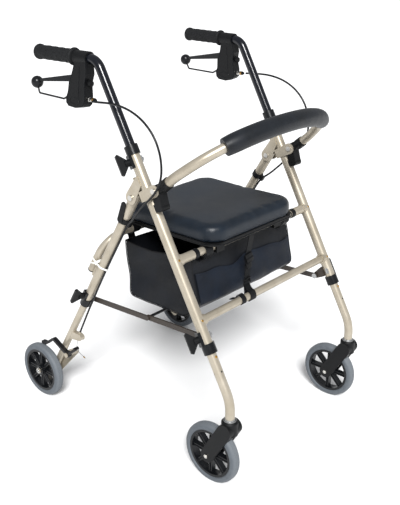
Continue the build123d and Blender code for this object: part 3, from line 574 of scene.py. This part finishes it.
def ribbon(points, across, width_mm, thick_mm, edge_mm=0.0):
    """A flat strap along points; across is the direction of its width, or one for each point."""
    sideways = [Vector(a).normalized() * width_mm * MM / 2
                for a in (across if isinstance(across[0], (tuple, Vector)) else [across] * len(points))]
    points = [Vector(p) for p in points]
    strap = fresh("plane", size=0.01)
    for vert, where in zip(strap.data.vertices, (points[0] - sideways[0], points[0] + sideways[0],
                                                 points[1] - sideways[1], points[1] + sideways[1])):
        vert.co = where
    bpy.ops.object.mode_set(mode="EDIT")
    far = [2, 3]
    for index in range(2, len(points)):
        shape = bmesh.from_edit_mesh(strap.data)
        shape.verts.ensure_lookup_table()
        bpy.ops.mesh.select_all(action="DESELECT")
        bpy.ops.mesh.select_mode(type="VERT")
        for corner in far:
            shape.verts[corner].select_set(True)
        shape.select_flush(True)
        bmesh.update_edit_mesh(strap.data)
        bpy.ops.mesh.extrude_region_move()
        shape = bmesh.from_edit_mesh(strap.data)
        shape.verts.ensure_lookup_table()
        count = len(shape.verts)
        far = [count - 2, count - 1]
        new = sorted((shape.verts[i] for i in far), key=lambda v: (v.co - points[index - 1]).dot(
            sideways[index - 1]))
        new[0].co = points[index] - sideways[index]
        new[1].co = points[index] + sideways[index]
        bmesh.update_edit_mesh(strap.data)
    bpy.ops.mesh.select_all(action="SELECT")
    bpy.ops.mesh.normals_make_consistent(inside=False)
    bpy.ops.object.mode_set(mode="OBJECT")
    modify(strap, "SOLIDIFY", thickness=thick_mm * MM, offset=0.0)
    if edge_mm:
        modify(strap, "BEVEL", width=edge_mm * MM, segments=2, limit_method="ANGLE")
    close_up(strap, 35.0)
    return strap


def block(size_mm, centre, edge_mm, turn=None, segments=3):
    """A bevelled block."""
    piece = fresh("cube", size=1.0, scale=Vector(size_mm) * MM)
    modify(piece, "BEVEL", width=edge_mm * MM, segments=segments)
    matrix = Matrix.Translation(centre) @ (turn.to_4x4() if turn else Matrix.Identity(4))
    piece.data.transform(matrix)
    close_up(piece, 30.0)
    return piece


def puffed(thing, voxel_mm, pressure, cap_mm, floor_z):
    """Swells a pad as its foam does: a cloth skin under pressure, its travel capped, flat below."""
    modify(thing, "REMESH", mode="VOXEL", voxel_size=voxel_mm * MM)
    start = [v.co.copy() for v in thing.data.vertices]
    choose(thing)
    cloth = thing.modifiers.new("cloth", "CLOTH")
    cloth.settings.use_pressure = True
    cloth.settings.uniform_pressure_force = pressure
    cloth.settings.effector_weights.gravity = 0
    for step in range(1, 21):
        scene.frame_set(step)
    bpy.ops.object.modifier_apply(modifier=cloth.name)
    scene.frame_set(1)
    for vert, before in zip(thing.data.vertices, start):
        move = vert.co - before
        if move.length > cap_mm * MM:
            vert.co = before + move.normalized() * cap_mm * MM
        vert.co.z = max(vert.co.z, floor_z)


# ---- seat --------------------
def seat_cushion():
    """The padded seat: a crowned slab with wide corners and a rolled top edge."""
    low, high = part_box("seat_pad")
    centre = (low + high) / 2
    size = high - low - Vector((0.006, 0.006, 0.004))
    pad = fresh("cube", size=1.0, scale=size, location=centre)
    bpy.ops.object.mode_set(mode="EDIT")
    pick(pad, "EDGE", lambda e, m: abs((e.verts[0].co - e.verts[1].co).z) > 0.01)
    bpy.ops.mesh.bevel(offset=0.046, segments=10, affect="EDGES")
    top = centre.z + size.z / 2
    pick(pad, "FACE", lambda f, m: f.normal.z > 0.9)
    bpy.ops.mesh.bevel(offset=0.017, segments=6, affect="EDGES")
    pick(pad, "FACE", lambda f, m: f.normal.z < -0.9)
    bpy.ops.mesh.bevel(offset=0.004, segments=3, affect="EDGES")
    pick(pad, "FACE", lambda f, m: f.normal.z < -0.9 and f.calc_area() > 0.03)
    bpy.ops.mesh.inset(thickness=0.009)
    bpy.ops.transform.translate(value=(0, 0, 0.0065))
    bpy.ops.object.mode_set(mode="OBJECT")
    puffed(pad, 5.0, 4.0, 6.0, low.z + 0.0004)
    for vert in pad.data.vertices:
        # the top sinks a little in the middle, where people sit, and its rim stays full
        rise = max(0.0, (vert.co.z - centre.z) / (size.z / 2))
        away = max(abs(vert.co.x - centre.x) / (size.x / 2), abs(vert.co.y - centre.y) / (size.y / 2))
        vert.co.z -= 0.0025 * rise * max(0.0, 1 - away ** 2)
    modify(pad, "SMOOTH", factor=0.5, iterations=6)
    modify(pad, "SUBSURF", levels=1, render_levels=1)
    close_up(pad, 60.0)
    dress(pad, "seat_cushion", "seat", VINYL, ["seat_pad"])
    # the moulded lip where the skin is trimmed round the bottom
    lip_z = low.z + 0.0022
    inset = 0.0015
    lip = []
    for cx, cy, a0 in ((high.x, high.y, 0), (low.x, high.y, 90), (low.x, low.y, 180), (high.x, low.y, 270)):
        mx = cx - (0.046 + inset) * (1 if cx > centre.x else -1)
        my = cy - (0.046 + inset) * (1 if cy > centre.y else -1)
        for k in range(0, 10):
            a = radians(a0 + 10 * k)
            lip.append(Vector((mx + 0.046 * cos(a), my + 0.046 * sin(a), lip_z)))
    lip.append(lip[0])
    edge = strand(lip, 1.6, order=2, ring=3)
    dress(edge, "seat_lip", "seat", NYLON)


# ---- backrest --------------------
HOOP_SLOPE = radians(39.9)
HOOP_RUN = Vector((0, -cos(HOOP_SLOPE), sin(HOOP_SLOPE)))


def hoop_point(angle):
    """A point on the hoop's curve, at an angle round from its left root."""
    c, s = cos(radians(angle)), sin(radians(angle))
    x = LEG_X * abs(c) ** (2 / 2.14) * (1 if c > 0 else -1)
    return Vector((x, -0.165, 0.700)) + HOOP_RUN * 0.176 * abs(s) ** (2 / 2.14)


def backrest_sleeve():
    """The foam sleeve: thick, soft at its ends, its skin seamed along the inside of the bend."""
    angles = [45, 50, 56, 63, 72, 81, 90, 99, 108, 117, 124, 130, 135]
    centre_line = [hoop_point(a) for a in angles]

    def fullness(t):
        end = min(t, 1 - t) * 12
        return 0.93 if end < 0.2 else 1.0
    sleeve = strand(centre_line, 21.6, taper=fullness, ring=9)
    modify(sleeve, "BEVEL", width=0.006, segments=4, limit_method="ANGLE", angle_limit=radians(60))
    close_up(sleeve, 50.0)
    dress(sleeve, "backrest_sleeve", "backrest", FOAM_SKIN, ["backrest_foam"])


# ---- bag --------------------
BAG_HALF = 0.187
BAG_PROFILE = [(-0.171, 0.509), (-0.197, 0.392), (-0.152, 0.3545), (0.030, 0.3545), (0.043, 0.500)]


def on_profile(t):
    """A point round the bag's side outline, from its front rim (0) to its rear rim (1)."""
    runs = list(zip(BAG_PROFILE, BAG_PROFILE[1:]))
    lengths = [sqrt((b[0] - a[0]) ** 2 + (b[1] - a[1]) ** 2) for a, b in runs]
    left = t * sum(lengths)
    for (a, b), length in zip(runs, lengths):
        if left <= length or (a, b) == runs[-1]:
            share = min(left / length, 1.0)
            return a[0] + (b[0] - a[0]) * share, a[1] + (b[1] - a[1]) * share
        left -= length


def soft_profile(t, spread=0.022):
    """The outline with its corners eased as cloth eases them."""
    spread = min(spread, t, 1 - t)
    near = [on_profile(t + spread * k / 4) for k in range(-4, 5)]
    return sum(p[0] for p in near) / 9, sum(p[1] for p in near) / 9


ROWS = 64      # round the profile
COLUMNS = 44   # across the bag
FRONT_ROWS = 16
REAR_ROWS = 16


def profile_share(row):
    """Rows are shared out so that the front and the rear panel have the same number."""
    lengths = [sqrt((b[0] - a[0]) ** 2 + (b[1] - a[1]) ** 2) for a, b in zip(BAG_PROFILE, BAG_PROFILE[1:])]
    whole = sum(lengths)
    front_end, rear_start = lengths[0] / whole, 1 - lengths[3] / whole
    if row <= FRONT_ROWS:
        return front_end * row / FRONT_ROWS
    if row >= ROWS - REAR_ROWS:
        return rear_start + (1 - rear_start) * (row - ROWS + REAR_ROWS) / REAR_ROWS
    return front_end + (rear_start - front_end) * (row - FRONT_ROWS) / (ROWS - FRONT_ROWS - REAR_ROWS)


def slack(x, y, z):
    """How the hung cloth leaves its flat panels: the rims sag between the straps, the front panel
    bellies, and each side is drawn in along a fold from its rim to the lower front corner."""
    where = Vector((x, y, z))
    across = x / BAG_HALF
    middle = 1 - across ** 2
    height = (z - 0.354) / 0.155
    if abs(across) > 0.985:
        fold = (y + 0.03) * 0.62 + (z - 0.43) * 0.78
        inward = 0.016 * max(0.0, 1 - (fold / 0.045) ** 2) * max(0.0, min(1.0, (z - 0.36) / 0.05))
        edge = min(1.0, max(0.0, (y + 0.185) / 0.05), 1.0) * min(1.0, max(0.0, (0.043 - y) / 0.03))
        inward *= max(0.0, min(1.0, edge))
        where.x -= inward * (1 if x > 0 else -1)
        rim = max(0.0, (height - 0.6) / 0.4)
        where.z -= 0.013 * rim * max(0.0, 1 - ((y + 0.06) / 0.11) ** 2)
    else:
        if y < -0.165:
            where.y -= 0.005 * middle * max(0.0, 1 - (height - 0.4) ** 2 * 4)
            where.z -= 0.004 * middle * max(0.0, height - 0.6)
        if y > 0.02:
            where.y -= 0.006 * middle * max(0.0, height)
            where.z -= 0.008 * middle * max(0.0, height - 0.5)
    where += noise.noise_vector(where * 22) * 0.0016
    return where


def bag():
    """The storage bag: one strip down the front, under and up the back, with a panel at each side."""
    shell = fresh("grid", x_subdivisions=COLUMNS, y_subdivisions=ROWS, size=1.0)
    for vert in shell.data.vertices:
        row = round((vert.co.y + 0.5) * ROWS)
        y, z = soft_profile(profile_share(row))
        vert.co = (vert.co.x * 2 * BAG_HALF, y, z)
    panels = [shell]
    bottom_rows = ROWS - FRONT_ROWS - REAR_ROWS
    for side in (LEFT, RIGHT):
        panel = fresh("grid", x_subdivisions=bottom_rows, y_subdivisions=FRONT_ROWS, size=1.0)
        for vert in panel.data.vertices:
            column = round((vert.co.x + 0.5) * bottom_rows)
            level = round((0.5 - vert.co.y) * FRONT_ROWS)
            a, b = column / bottom_rows, level / FRONT_ROWS
            front_edge = Vector(soft_profile(profile_share(level)))
            rear_edge = Vector(soft_profile(profile_share(ROWS - level)))
            bottom = Vector(soft_profile(profile_share(FRONT_ROWS + column)))
            top = Vector(soft_profile(0)) * (1 - a) + Vector(soft_profile(1)) * a
            corners = (Vector(soft_profile(0)) * (1 - a) * (1 - b) + Vector(soft_profile(1)) * a * (1 - b)
                       + Vector(soft_profile(profile_share(FRONT_ROWS))) * (1 - a) * b
                       + Vector(soft_profile(profile_share(ROWS - REAR_ROWS))) * a * b)
            place = front_edge * (1 - a) + rear_edge * a + top * (1 - b) + bottom * b - corners
            vert.co = (side * BAG_HALF, place.x, place.y)
        panels.append(panel)
    for panel in panels:
        for vert in panel.data.vertices:
            vert.co = slack(*vert.co)
    bpy.ops.object.select_all(action="DESELECT")
    for panel in panels:
        panel.select_set(True)
    bpy.context.view_layer.objects.active = shell
    bpy.ops.object.join()
    close_up(shell, 60.0)
    modify(shell, "SMOOTH", factor=0.4, iterations=2)
    modify(shell, "SOLIDIFY", thickness=0.0014, offset=-1.0)
    close_up(shell, 50.0, outward=False)
    dress(shell, "bag_shell", "frame", PACKCLOTH, ["storage_bag"])
    squash_bag(shell)


def squash_bag(piece):
    """Gives a bag piece a mesh of its own."""
    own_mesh(piece)


def joined(parts):
    bpy.ops.object.select_all(action="DESELECT")
    for part in parts:
        part.select_set(True)
    bpy.context.view_layer.objects.active = parts[0]
    bpy.ops.object.join()
    return parts[0]


def bag_binding():
    """Folded bindings sewn over the raw edges: round each side panel and along the open top."""
    parts = []
    for side in SIGNS:
        seam = [slack(side * (BAG_HALF + 0.0006), *soft_profile(k / 48)) for k in range(49)]
        parts.append(strand(seam, 1.2, ring=3))
        a, b = soft_profile(0), soft_profile(1)
        rim = [slack(side * BAG_HALF, a[0] + (b[0] - a[0]) * k / 14, a[1] + (b[1] - a[1]) * k / 14)
               for k in range(15)]
        parts.append(strand(rim, 1.7, ring=3))
    for end in (0, 1):
        top = [slack(BAG_HALF * k / 14, *soft_profile(end)) for k in range(-14, 15)]
        parts.append(strand(top, 1.7, ring=3))
    trim = dress(joined(parts), "bag_binding", "frame", WEBBING)
    squash_bag(trim)


def bag_pocket():
    """The patch pocket on the front: a second sheet whose loose upper edge waves."""
    columns, rows = 44, 14
    pocket = fresh("grid", x_subdivisions=columns, y_subdivisions=rows, size=1.0)
    for vert in pocket.data.vertices:
        across, drop = vert.co.x * 2, 0.5 - vert.co.y
        top = 0.466 + 0.0055 * sin(across * 5.6 + 0.6) + 0.003 * cos(across * 11.0)
        z = top + (0.3975 - top) * drop
        y = -0.197 + (z - 0.392) / 0.117 * 0.026
        place = slack(across * BAG_HALF * 0.972, y, z)
        place.y -= 0.0030 + 0.0050 * max(0.0, 1 - across ** 2) * sin(pi * min(1.0, 1 - drop)) ** 0.5
        vert.co = place
    modify(pocket, "SOLIDIFY", thickness=0.0014, offset=0.0)
    close_up(pocket, 50.0)
    dress(pocket, "bag_pocket", "frame", POCKET_CLOTH)
    squash_bag(pocket)


def bag_straps():
    """Webbing that hangs the bag from the seat crossbar, and the strap that closes the bag and
    ties it to the lower crossbar, with its buckle."""
    bar = front_leg(0.335, 0.0, 0.0)
    low = front_leg(0.193, 0.0, 0.0)
    for number, x in enumerate((-0.150, 0.150)):
        loop = [(x, bar.y + 0.012, bar.z - 0.028), (x, bar.y + 0.012, bar.z),
                (x, bar.y + 0.008, bar.z + 0.0112),
                (x, bar.y - 0.008, bar.z + 0.0112), (x, bar.y - 0.0135, bar.z),
                (x, bar.y - 0.0125, bar.z - 0.014),
                (x, bar.y + 0.010, bar.z - 0.030)]
        piece = ribbon(line_of([Vector(p) for p in loop], 4), (1, 0, 0), 24, 1.3)
        dress(piece, f"bag_hanger_{number + 1}", "frame", WEBBING)
    down = [(0.004, bar.y + 0.006, bar.z + 0.0120), (0.003, bar.y - 0.010, bar.z + 0.0130),
            (0.002, bar.y - 0.0155, bar.z + 0.002), (0.000, bar.y - 0.0150, bar.z - 0.016),
            (-0.006, -0.1985, 0.478), (-0.018, -0.2085, 0.440), (-0.034, -0.2150, 0.403),
            (-0.052, -0.2300, low.z + 0.020), (-0.064, low.y + 0.006, low.z + 0.0125),
            (-0.066, low.y - 0.004, low.z + 0.0122), (-0.068, low.y - 0.0118, low.z + 0.003),
            (-0.068, low.y - 0.0105, low.z - 0.008), (-0.068, low.y, low.z - 0.0118),
            (-0.067, low.y + 0.0115, low.z - 0.004), (-0.062, low.y + 0.0130, low.z + 0.008),
            (-0.050, -0.2270, low.z + 0.020)]
    strap = ribbon(line_of([Vector(p) for p in down], 5), (1, 0, 0), 20, 1.5)
    dress(strap, "bag_strap", "frame", WEBBING)
    tail = [(-0.085, -0.210, 0.384), (-0.087, -0.228, 0.389), (-0.094, low.y + 0.014, low.z + 0.008),
            (-0.098, low.y + 0.004, low.z + 0.0126), (-0.102, low.y - 0.0122, low.z + 0.004),
            (-0.103, low.y - 0.009, low.z - 0.009), (-0.101, low.y + 0.009, low.z - 0.009),
            (-0.097, low.y + 0.016, low.z + 0.002), (-0.090, -0.222, 0.378)]
    dress(ribbon(line_of([Vector(p) for p in tail], 4), (1, 0, 0), 15, 1.3), "bag_tie_strap", "frame",
          WEBBING)
    lean = Matrix.Rotation(radians(-12), 3, "X") @ Matrix.Rotation(radians(-9), 3, "Y")
    clasp = [((26, 6.5, 22), (-0.010, -0.2040, 0.466), 1.8),
             ((19, 5.5, 15), (-0.0145, -0.2068, 0.448), 1.5),
             ((27, 4.0, 4.5), (-0.0105, -0.2072, 0.4645), 1.2),
             ((15, 7.5, 3), (-0.014, -0.2068, 0.4535), 1.0)]
    dress(joined([block(*part, lean) for part in clasp]), "strap_buckle", "frame", NYLON)
    ladder = [((25, 3.5, 3.2), (-0.0275, -0.2150, 0.419), 1.0),
              ((25, 3.5, 3.2), (-0.032, -0.2162, 0.409), 1.0),
              ((3, 3.5, 13), (-0.041, -0.2157, 0.415), 1.0), ((3, 3.5, 13), (-0.019, -0.2157, 0.413), 1.0)]
    dress(joined([block(*part, lean) for part in ladder]), "strap_slider", "frame", NYLON)


# ---- brake cables --------------------
CABLE_ARC = [(0.2745, 0.041, 0.851), (0.2745, 0.018, 0.852), (0.2745, -0.012, 0.8545),
             (0.2745, -0.046, 0.8535), (0.2745, -0.084, 0.846), (0.2745, -0.120, 0.829),
             (0.2745, -0.149, 0.802), (0.2745, -0.165, 0.768), (0.2745, -0.169, 0.736),
             (0.2745, -0.165, 0.709), (0.2745, -0.152, 0.684), (0.2745, -0.131, 0.6615),
             (0.273, -0.105, 0.638), (0.268, -0.080, 0.612), (0.261, -0.057, 0.5895)]
CABLE_END = Vector((0.252, 0.161, 0.226))
CABLE_DOWN = (CABLE_END - rear_leg(0.402, -0.020)).normalized()


def cable_route():
    """The left brake cable's route, from the brake body to the cable stop."""
    leg = [rear_leg(u, -0.0139, x) for u, x in ((0.078, 0.253), (0.130, 0.252), (0.192, 0.2523),
                                                (0.242, 0.252))]
    tail = [rear_leg(0.300, -0.0155, 0.2523), rear_leg(0.350, -0.0175), rear_leg(0.395, -0.0191, 0.2523),
            rear_leg(0.440, -0.0219), CABLE_END - CABLE_DOWN * 0.0046]
    return [Vector(p) for p in CABLE_ARC] + leg + tail


def brake_cables():
    """Each cable crosses three joints, so it is three lengths of one line, one across each joint."""
    whole = line_of(cable_route(), 12)
    top = next(i for i, p in enumerate(whole) if p.z < 0.70)
    middle = next(i for i, p in enumerate(whole) if p.z < rear_leg(0.215).z)
    for name, side in SIDES:
        line = [Vector((p.x * side, p.y, p.z)) for p in whole]
        lengths = (("upper", line[:top + 1], f"{name}_handle", "frame", line[0], line[top]),
                   ("middle", line[top:middle + 1], "frame", "rear_frame", line[top], line[middle]),
                   ("lower", line[middle:], "rear_frame", f"{name}_rear_extension", line[middle], line[-1]))
        for part, run, first, second, start, end in lengths:
            piece = strand(run, 2.5, order=2, ring=5)
            dress(piece, f"{name}_cable_{part}", None, JACKET,
                  ["brake_cables"] if (part, side) == ("upper", LEFT) else [])
            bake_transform(piece)


# ---- wheels --------------------
def tyre_section():
    """Half of a tyre's section, x outward and radius: rounded shoulders and three fine grooves."""
    half = [(0, 76.0), (1.0, 75.0), (1.9, 76.0), (3.6, 75.9), (4.5, 74.8), (5.4, 75.7), (7.2, 75.1),
            (9.2, 73.9),
            (11.0, 72.0), (12.3, 69.4), (12.9, 66.6), (13.0, 64.0), (12.7, 62.4), (11.8, 61.6),
            (11.0, 60.4)]
    return half + [(-x, r) for x, r in reversed(half) if x]


def tyres():
    for name, side in SIDES:
        for kind in ("front", "rear"):
            node = f"{name}_{kind}_tyre"
            low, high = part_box(node)
            centre = (low + high) / 2
            tyre = spun(tyre_section(), centre, 112, 32.0)
            dress(tyre, f"{node}_grooved", f"{name}_{kind}_wheel",
                  grey_tyre_rubber(f"grey_tyre_{node}", centre),
                  [node])


# ---- grips --------------------
def grips():
    """Soft grips: a flange against the brake body, a fluted hand part and a swollen rounded end."""
    corner, run = grip_axis()
    at = corner + run * ((0.113 - corner.y) / run.y)
    profile = [(0.0, 12.0), (0.1, 17.6), (1.0, 19.2), (2.6, 20.0), (5.2, 20.0), (6.6, 19.4), (8.0, 17.8),
               (9.0, 16.4), (12.0, 15.9)]
    for k in range(1, 20):
        along = 12 + k * 5.1
        wave = 0.75 * sin(pi * (along - 12) / 22.0) ** 2 if along < 100 else 0
        profile.append((along, 15.5 + wave + 0.5 * (along / 110)))
    profile += [(112.5, 16.2), (114.5, 16.8), (117, 17.7), (121, 17.9), (124.0, 17.0), (126.0, 15.0),
                (127.4, 12.0),
                (128.0, 8.0), (128.1, 3.0)]
    for name, side in SIDES:
        grip = turned(Vector((at.x * side, at.y, at.z)), Vector((run.x * side, run.y, run.z)), profile, 40,
                      50.0)
        dress(grip, f"{name}_grip_moulded", f"{name}_handle", GRIP_RUBBER, [f"{name}_grip"])


# ---- brake bodies --------------------
def grip_axis():
    corner = front_leg((0.939 - 0.231) / cos(FRONT_RAKE))
    return corner, (Vector((0.260, 0.236, 0.941)) - corner).normalized()


def on_body(y_mm, z_mm, out_mm, side):
    """A point on a brake body, which leans outward about the grip's axis; out is from its middle."""
    corner, run = grip_axis()
    hub = corner + run * ((0.090 - corner.y) / run.y)
    spot = Vector((out_mm * MM, y_mm * MM - hub.y, z_mm * MM - hub.z))
    spot = Matrix.Rotation(radians(-6.4), 3, "Y") @ spot + hub
    return Vector((spot.x * side, spot.y, spot.z))


def brake_bodies():
    """Moulded ribs and the oval pad on each brake body, its adjuster knob and the cable's ferrule."""
    for name, side in SIDES:
        ribs = []
        for face in (12.2, -12.2):
            front_edge = [(67, 932), (64, 906), (69.5, 884), (66, 858), (68, 842), (75, 835.5)]
            ribs.append(strand([on_body(y, z, face, side) for y, z in front_edge], 0.9, ring=2))
            middle = [(88, 922), (86, 898), (88, 874), (86, 852)]
            ribs.append(strand([on_body(y, z, face, side) for y, z in middle], 0.6, ring=2))
            rear_edge = [(105, 924), (110, 904), (119.5, 884), (121.5, 864), (127, 848), (126, 839)]
            ribs.append(strand([on_body(y, z, face, side) for y, z in rear_edge], 0.6, ring=2))
            oval = [(100 + 17 * cos(2 * pi * k / 18), 843 + 7.5 * sin(2 * pi * k / 18)) for k in range(19)]
            ribs.append(strand([on_body(y, z, face, side) for y, z in oval], 0.7, order=2, ring=2))
        dress(joined(ribs), f"{name}_body_ribs", f"{name}_handle", ABS)
        head = on_body(66, 886, 0, side)
        knob = turned(head, (0, -1, 0),
                      [(-2, 5.0), (1.5, 5.0), (2.0, 6.6), (3.0, 7.2), (8.0, 7.2), (9.5, 6.6),
                                         (10.2, 5.2), (10.4, 2.0)], 14, 25.0)
        dress(knob, f"{name}_adjuster_knob", f"{name}_handle", NYLON)
        start, end = on_body(64.5, 850, 0, side), on_body(40.5, 851.5, 0, side)
        run = end - start
        sleeve = turned(start, run, [(0, 4.6), (0.8, 5.2), (3.2, 5.2), (4.0, 4.2), (11.0, 4.1), (11.5, 4.9),
                                     (12.6, 5.1), (13.2, 4.9)], 24, 30.0)
        dress(sleeve, f"{name}_ferrule", f"{name}_handle", NICKEL)
        ring = turned(start + run.normalized() * 13.2 * MM, run,
                      [(0, 4.9), (0.4, 5.1), (4.6, 5.1), (5.2, 4.7)], 24)
        dress(ring, f"{name}_ferrule_ring", f"{name}_handle", BRASS)
        boot = turned(start + run.normalized() * 18.4 * MM, run,
                      [(0, 4.4), (1.0, 4.3), (5.5, 3.2), (6.2, 2.7)], 24)
        dress(boot, f"{name}_ferrule_boot", f"{name}_handle", JACKET)


# ---- small fittings --------------------
def button(name, body, at, out, finish, radius, height):
    """A domed rivet, button or bolt head, standing out from a surface."""
    profile = [(-0.8, radius), (height * 0.45, radius), (height * 0.75, radius * 0.86),
               (height * 0.95, radius * 0.55), (height, radius * 0.2)]
    return dress(turned(at, out, profile, 24, 50.0), name, body, finish)


def fittings():
    """Snap buttons, rivets, washers, axle nuts and end plugs."""
    for name, side in SIDES:
        x = LEG_X * side
        button(f"{name}_snap_button", f"{name}_front_extension", front_leg(0.108, -0.0110, x), -LEG_BACK,
               BRASS, 3.0, 2.6)
        # the spare hole is a thin black disc: its black is painted shade standing in for the dark inside of
        # the hole
        button(f"{name}_spare_hole_painted_shade", f"{name}_front_extension", front_leg(0.073, -0.0108, x), -LEG_BACK,
               JACKET, 2.3, 0.5)
        for label, up in (("low", 0.193), ("seat", 0.335)):
            button(f"{name}_{label}_rivet", "frame", front_leg(up, -0.0126, x), -LEG_BACK, BRASS, 2.8, 1.4)
        washer = turned(Vector((x, -0.348, 0.1856)), (0, 0, 1),
                        [(0, 14.6), (0.4, 15.0), (1.8, 15.0), (2.4, 14.2), (2.5, 12.4), (4.6, 12.0),
                         (5.0, 11.3)], 40, 30.0)
        dress(washer, f"{name}_stem_washer", f"{name}_front_extension", ZINC)
        out = Vector((side, 0, 0))
        nut = turned(Vector(((0.277 + 0.0150) * side, 0.298, 0.076)), out,
                     [(-0.2, 9.2), (0.6, 9.4), (1.4, 9.2), (1.6, 7.7), (4.4, 7.7), (4.9, 7.0), (5.0, 4.4)],
                     6, 20.0)
        dress(nut, f"{name}_axle_nut", f"{name}_rear_extension", NICKEL)
        stub = turned(Vector(((0.277 + 0.0198) * side, 0.298, 0.076)), out,
                      [(-1, 3.9), (1.6, 3.9), (2.0, 3.2)], 20)
        dress(stub, f"{name}_axle_end", f"{name}_rear_extension", ZINC)
        plug_at = rear_leg(0.2738, 0.025, x)
        plug = turned(plug_at, REAR_DOWN, [(-0.2, 9.0), (0.0, 9.9), (2.2, 9.9), (3.2, 9.2), (3.6, 7.0)], 32,
                      40.0)
        dress(plug, f"{name}_bar_plug", "rear_frame", NYLON)
        boot = turned(rear_leg(0.6898, 0.0, x), REAR_DOWN,
                      [(-1.0, 9.0), (-0.6, 9.9), (1.4, 9.9), (2.4, 8.6)], 32, 40.0)
        dress(boot, f"{name}_leg_plug", f"{name}_rear_extension", NYLON)


def brake_wires():
    """The bare inner wire below each cable stop, its anchor on the brake arm and its trimmed tail."""
    for name, side in SIDES:
        top = CABLE_END + CABLE_DOWN * 0.010
        anchor = Vector((0.268, 0.1585, 0.1885))
        wire = [top, top + CABLE_DOWN * 0.010, (top + anchor) / 2 + Vector((0.001, -0.001, 0)),
                anchor + Vector((-0.001, 0, 0.008)), anchor, anchor + Vector((0.0005, -0.006, -0.007)),
                anchor + Vector((0.001, -0.020, -0.013)), anchor + Vector((0.001, -0.036, -0.017))]
        line = [Vector((p.x * side, p.y, p.z)) for p in line_of(wire, 8)]
        dress(strand(line, 0.75, order=2, ring=3), f"{name}_inner_wire", f"{name}_rear_extension", ZINC)
        crimp_at = Vector(((anchor.x + 0.001) * side, anchor.y - 0.027, anchor.z - 0.0150))
        crimp = turned(crimp_at, (0, -0.95, -0.31), [(0, 0.9), (0.2, 1.5), (6.0, 1.5), (6.3, 0.8)], 16)
        dress(crimp, f"{name}_wire_crimp", f"{name}_rear_extension", BRASS)
        barrel = turned(Vector((0.2625 * side, anchor.y + 0.0005, anchor.z - 0.002)), (side, 0, 0),
                        [(0, 3.6), (0.8, 4.6), (14.0, 4.6), (14.8, 3.6)], 24)
        dress(barrel, f"{name}_wire_anchor", f"{name}_brake_arm", BRAKE_ENAMEL)


def tie_tails():
    """The trimmed, curling tail of each white cable tie."""
    for name, side in SIDES:
        root = rear_leg(0.2325, 0.0115, 0.2675)
        path = [root, root + Vector((0.010, 0.004, 0.003)), root + Vector((0.020, 0.013, 0.012)),
                root + Vector((0.021, 0.021, 0.027)), root + Vector((0.013, 0.023, 0.041))]
        tail = ribbon(line_of([Vector((p.x * side, p.y, p.z)) for p in path], 6), REAR_DOWN, 4.2, 1.1, 0.2)
        dress(tail, f"{name}_tie_tail", "rear_frame", WHITE_NYLON)


def bag_rear_straps():
    """Webbing loops from the bag's rear edge to the rear crossbar, which moves as the frame folds."""
    bar = rear_leg(0.158, 0.025, 0.0)
    rim_y, rim_z = soft_profile(1)
    for number, x in enumerate((-0.160, 0.160)):
        loop = [(x, rim_y + 0.002, rim_z - 0.028), (x, rim_y + 0.0045, rim_z + 0.004),
                (x, bar.y + 0.020, bar.z - 0.014),
                (x, bar.y + 0.0125, bar.z + 0.004), (x, bar.y + 0.004, bar.z + 0.0118),
                (x, bar.y - 0.008, bar.z + 0.0105),
                (x, bar.y - 0.0125, bar.z - 0.002), (x, bar.y - 0.003, bar.z - 0.0125),
                (x, bar.y + 0.014, bar.z - 0.018)]
        strap = ribbon(line_of([Vector(p) for p in loop], 5), (1, 0, 0), 22, 1.3)
        dress(strap, f"bag_rear_strap_{number + 1}", None, WEBBING)
        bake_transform(strap)


# ---- the walker --------------------
for node_name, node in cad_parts.items():
    kind = node_name.replace("left_", "").replace("right_", "")
    coat(node, NODE_FINISH[kind] or JACKET)

brake_cables()
seat_cushion()
backrest_sleeve()
bag()
bag_binding()
bag_pocket()
bag_straps()
tyres()
grips()
brake_bodies()
fittings()
brake_wires()
tie_tails()
bag_rear_straps()

bpy.context.view_layer.update()
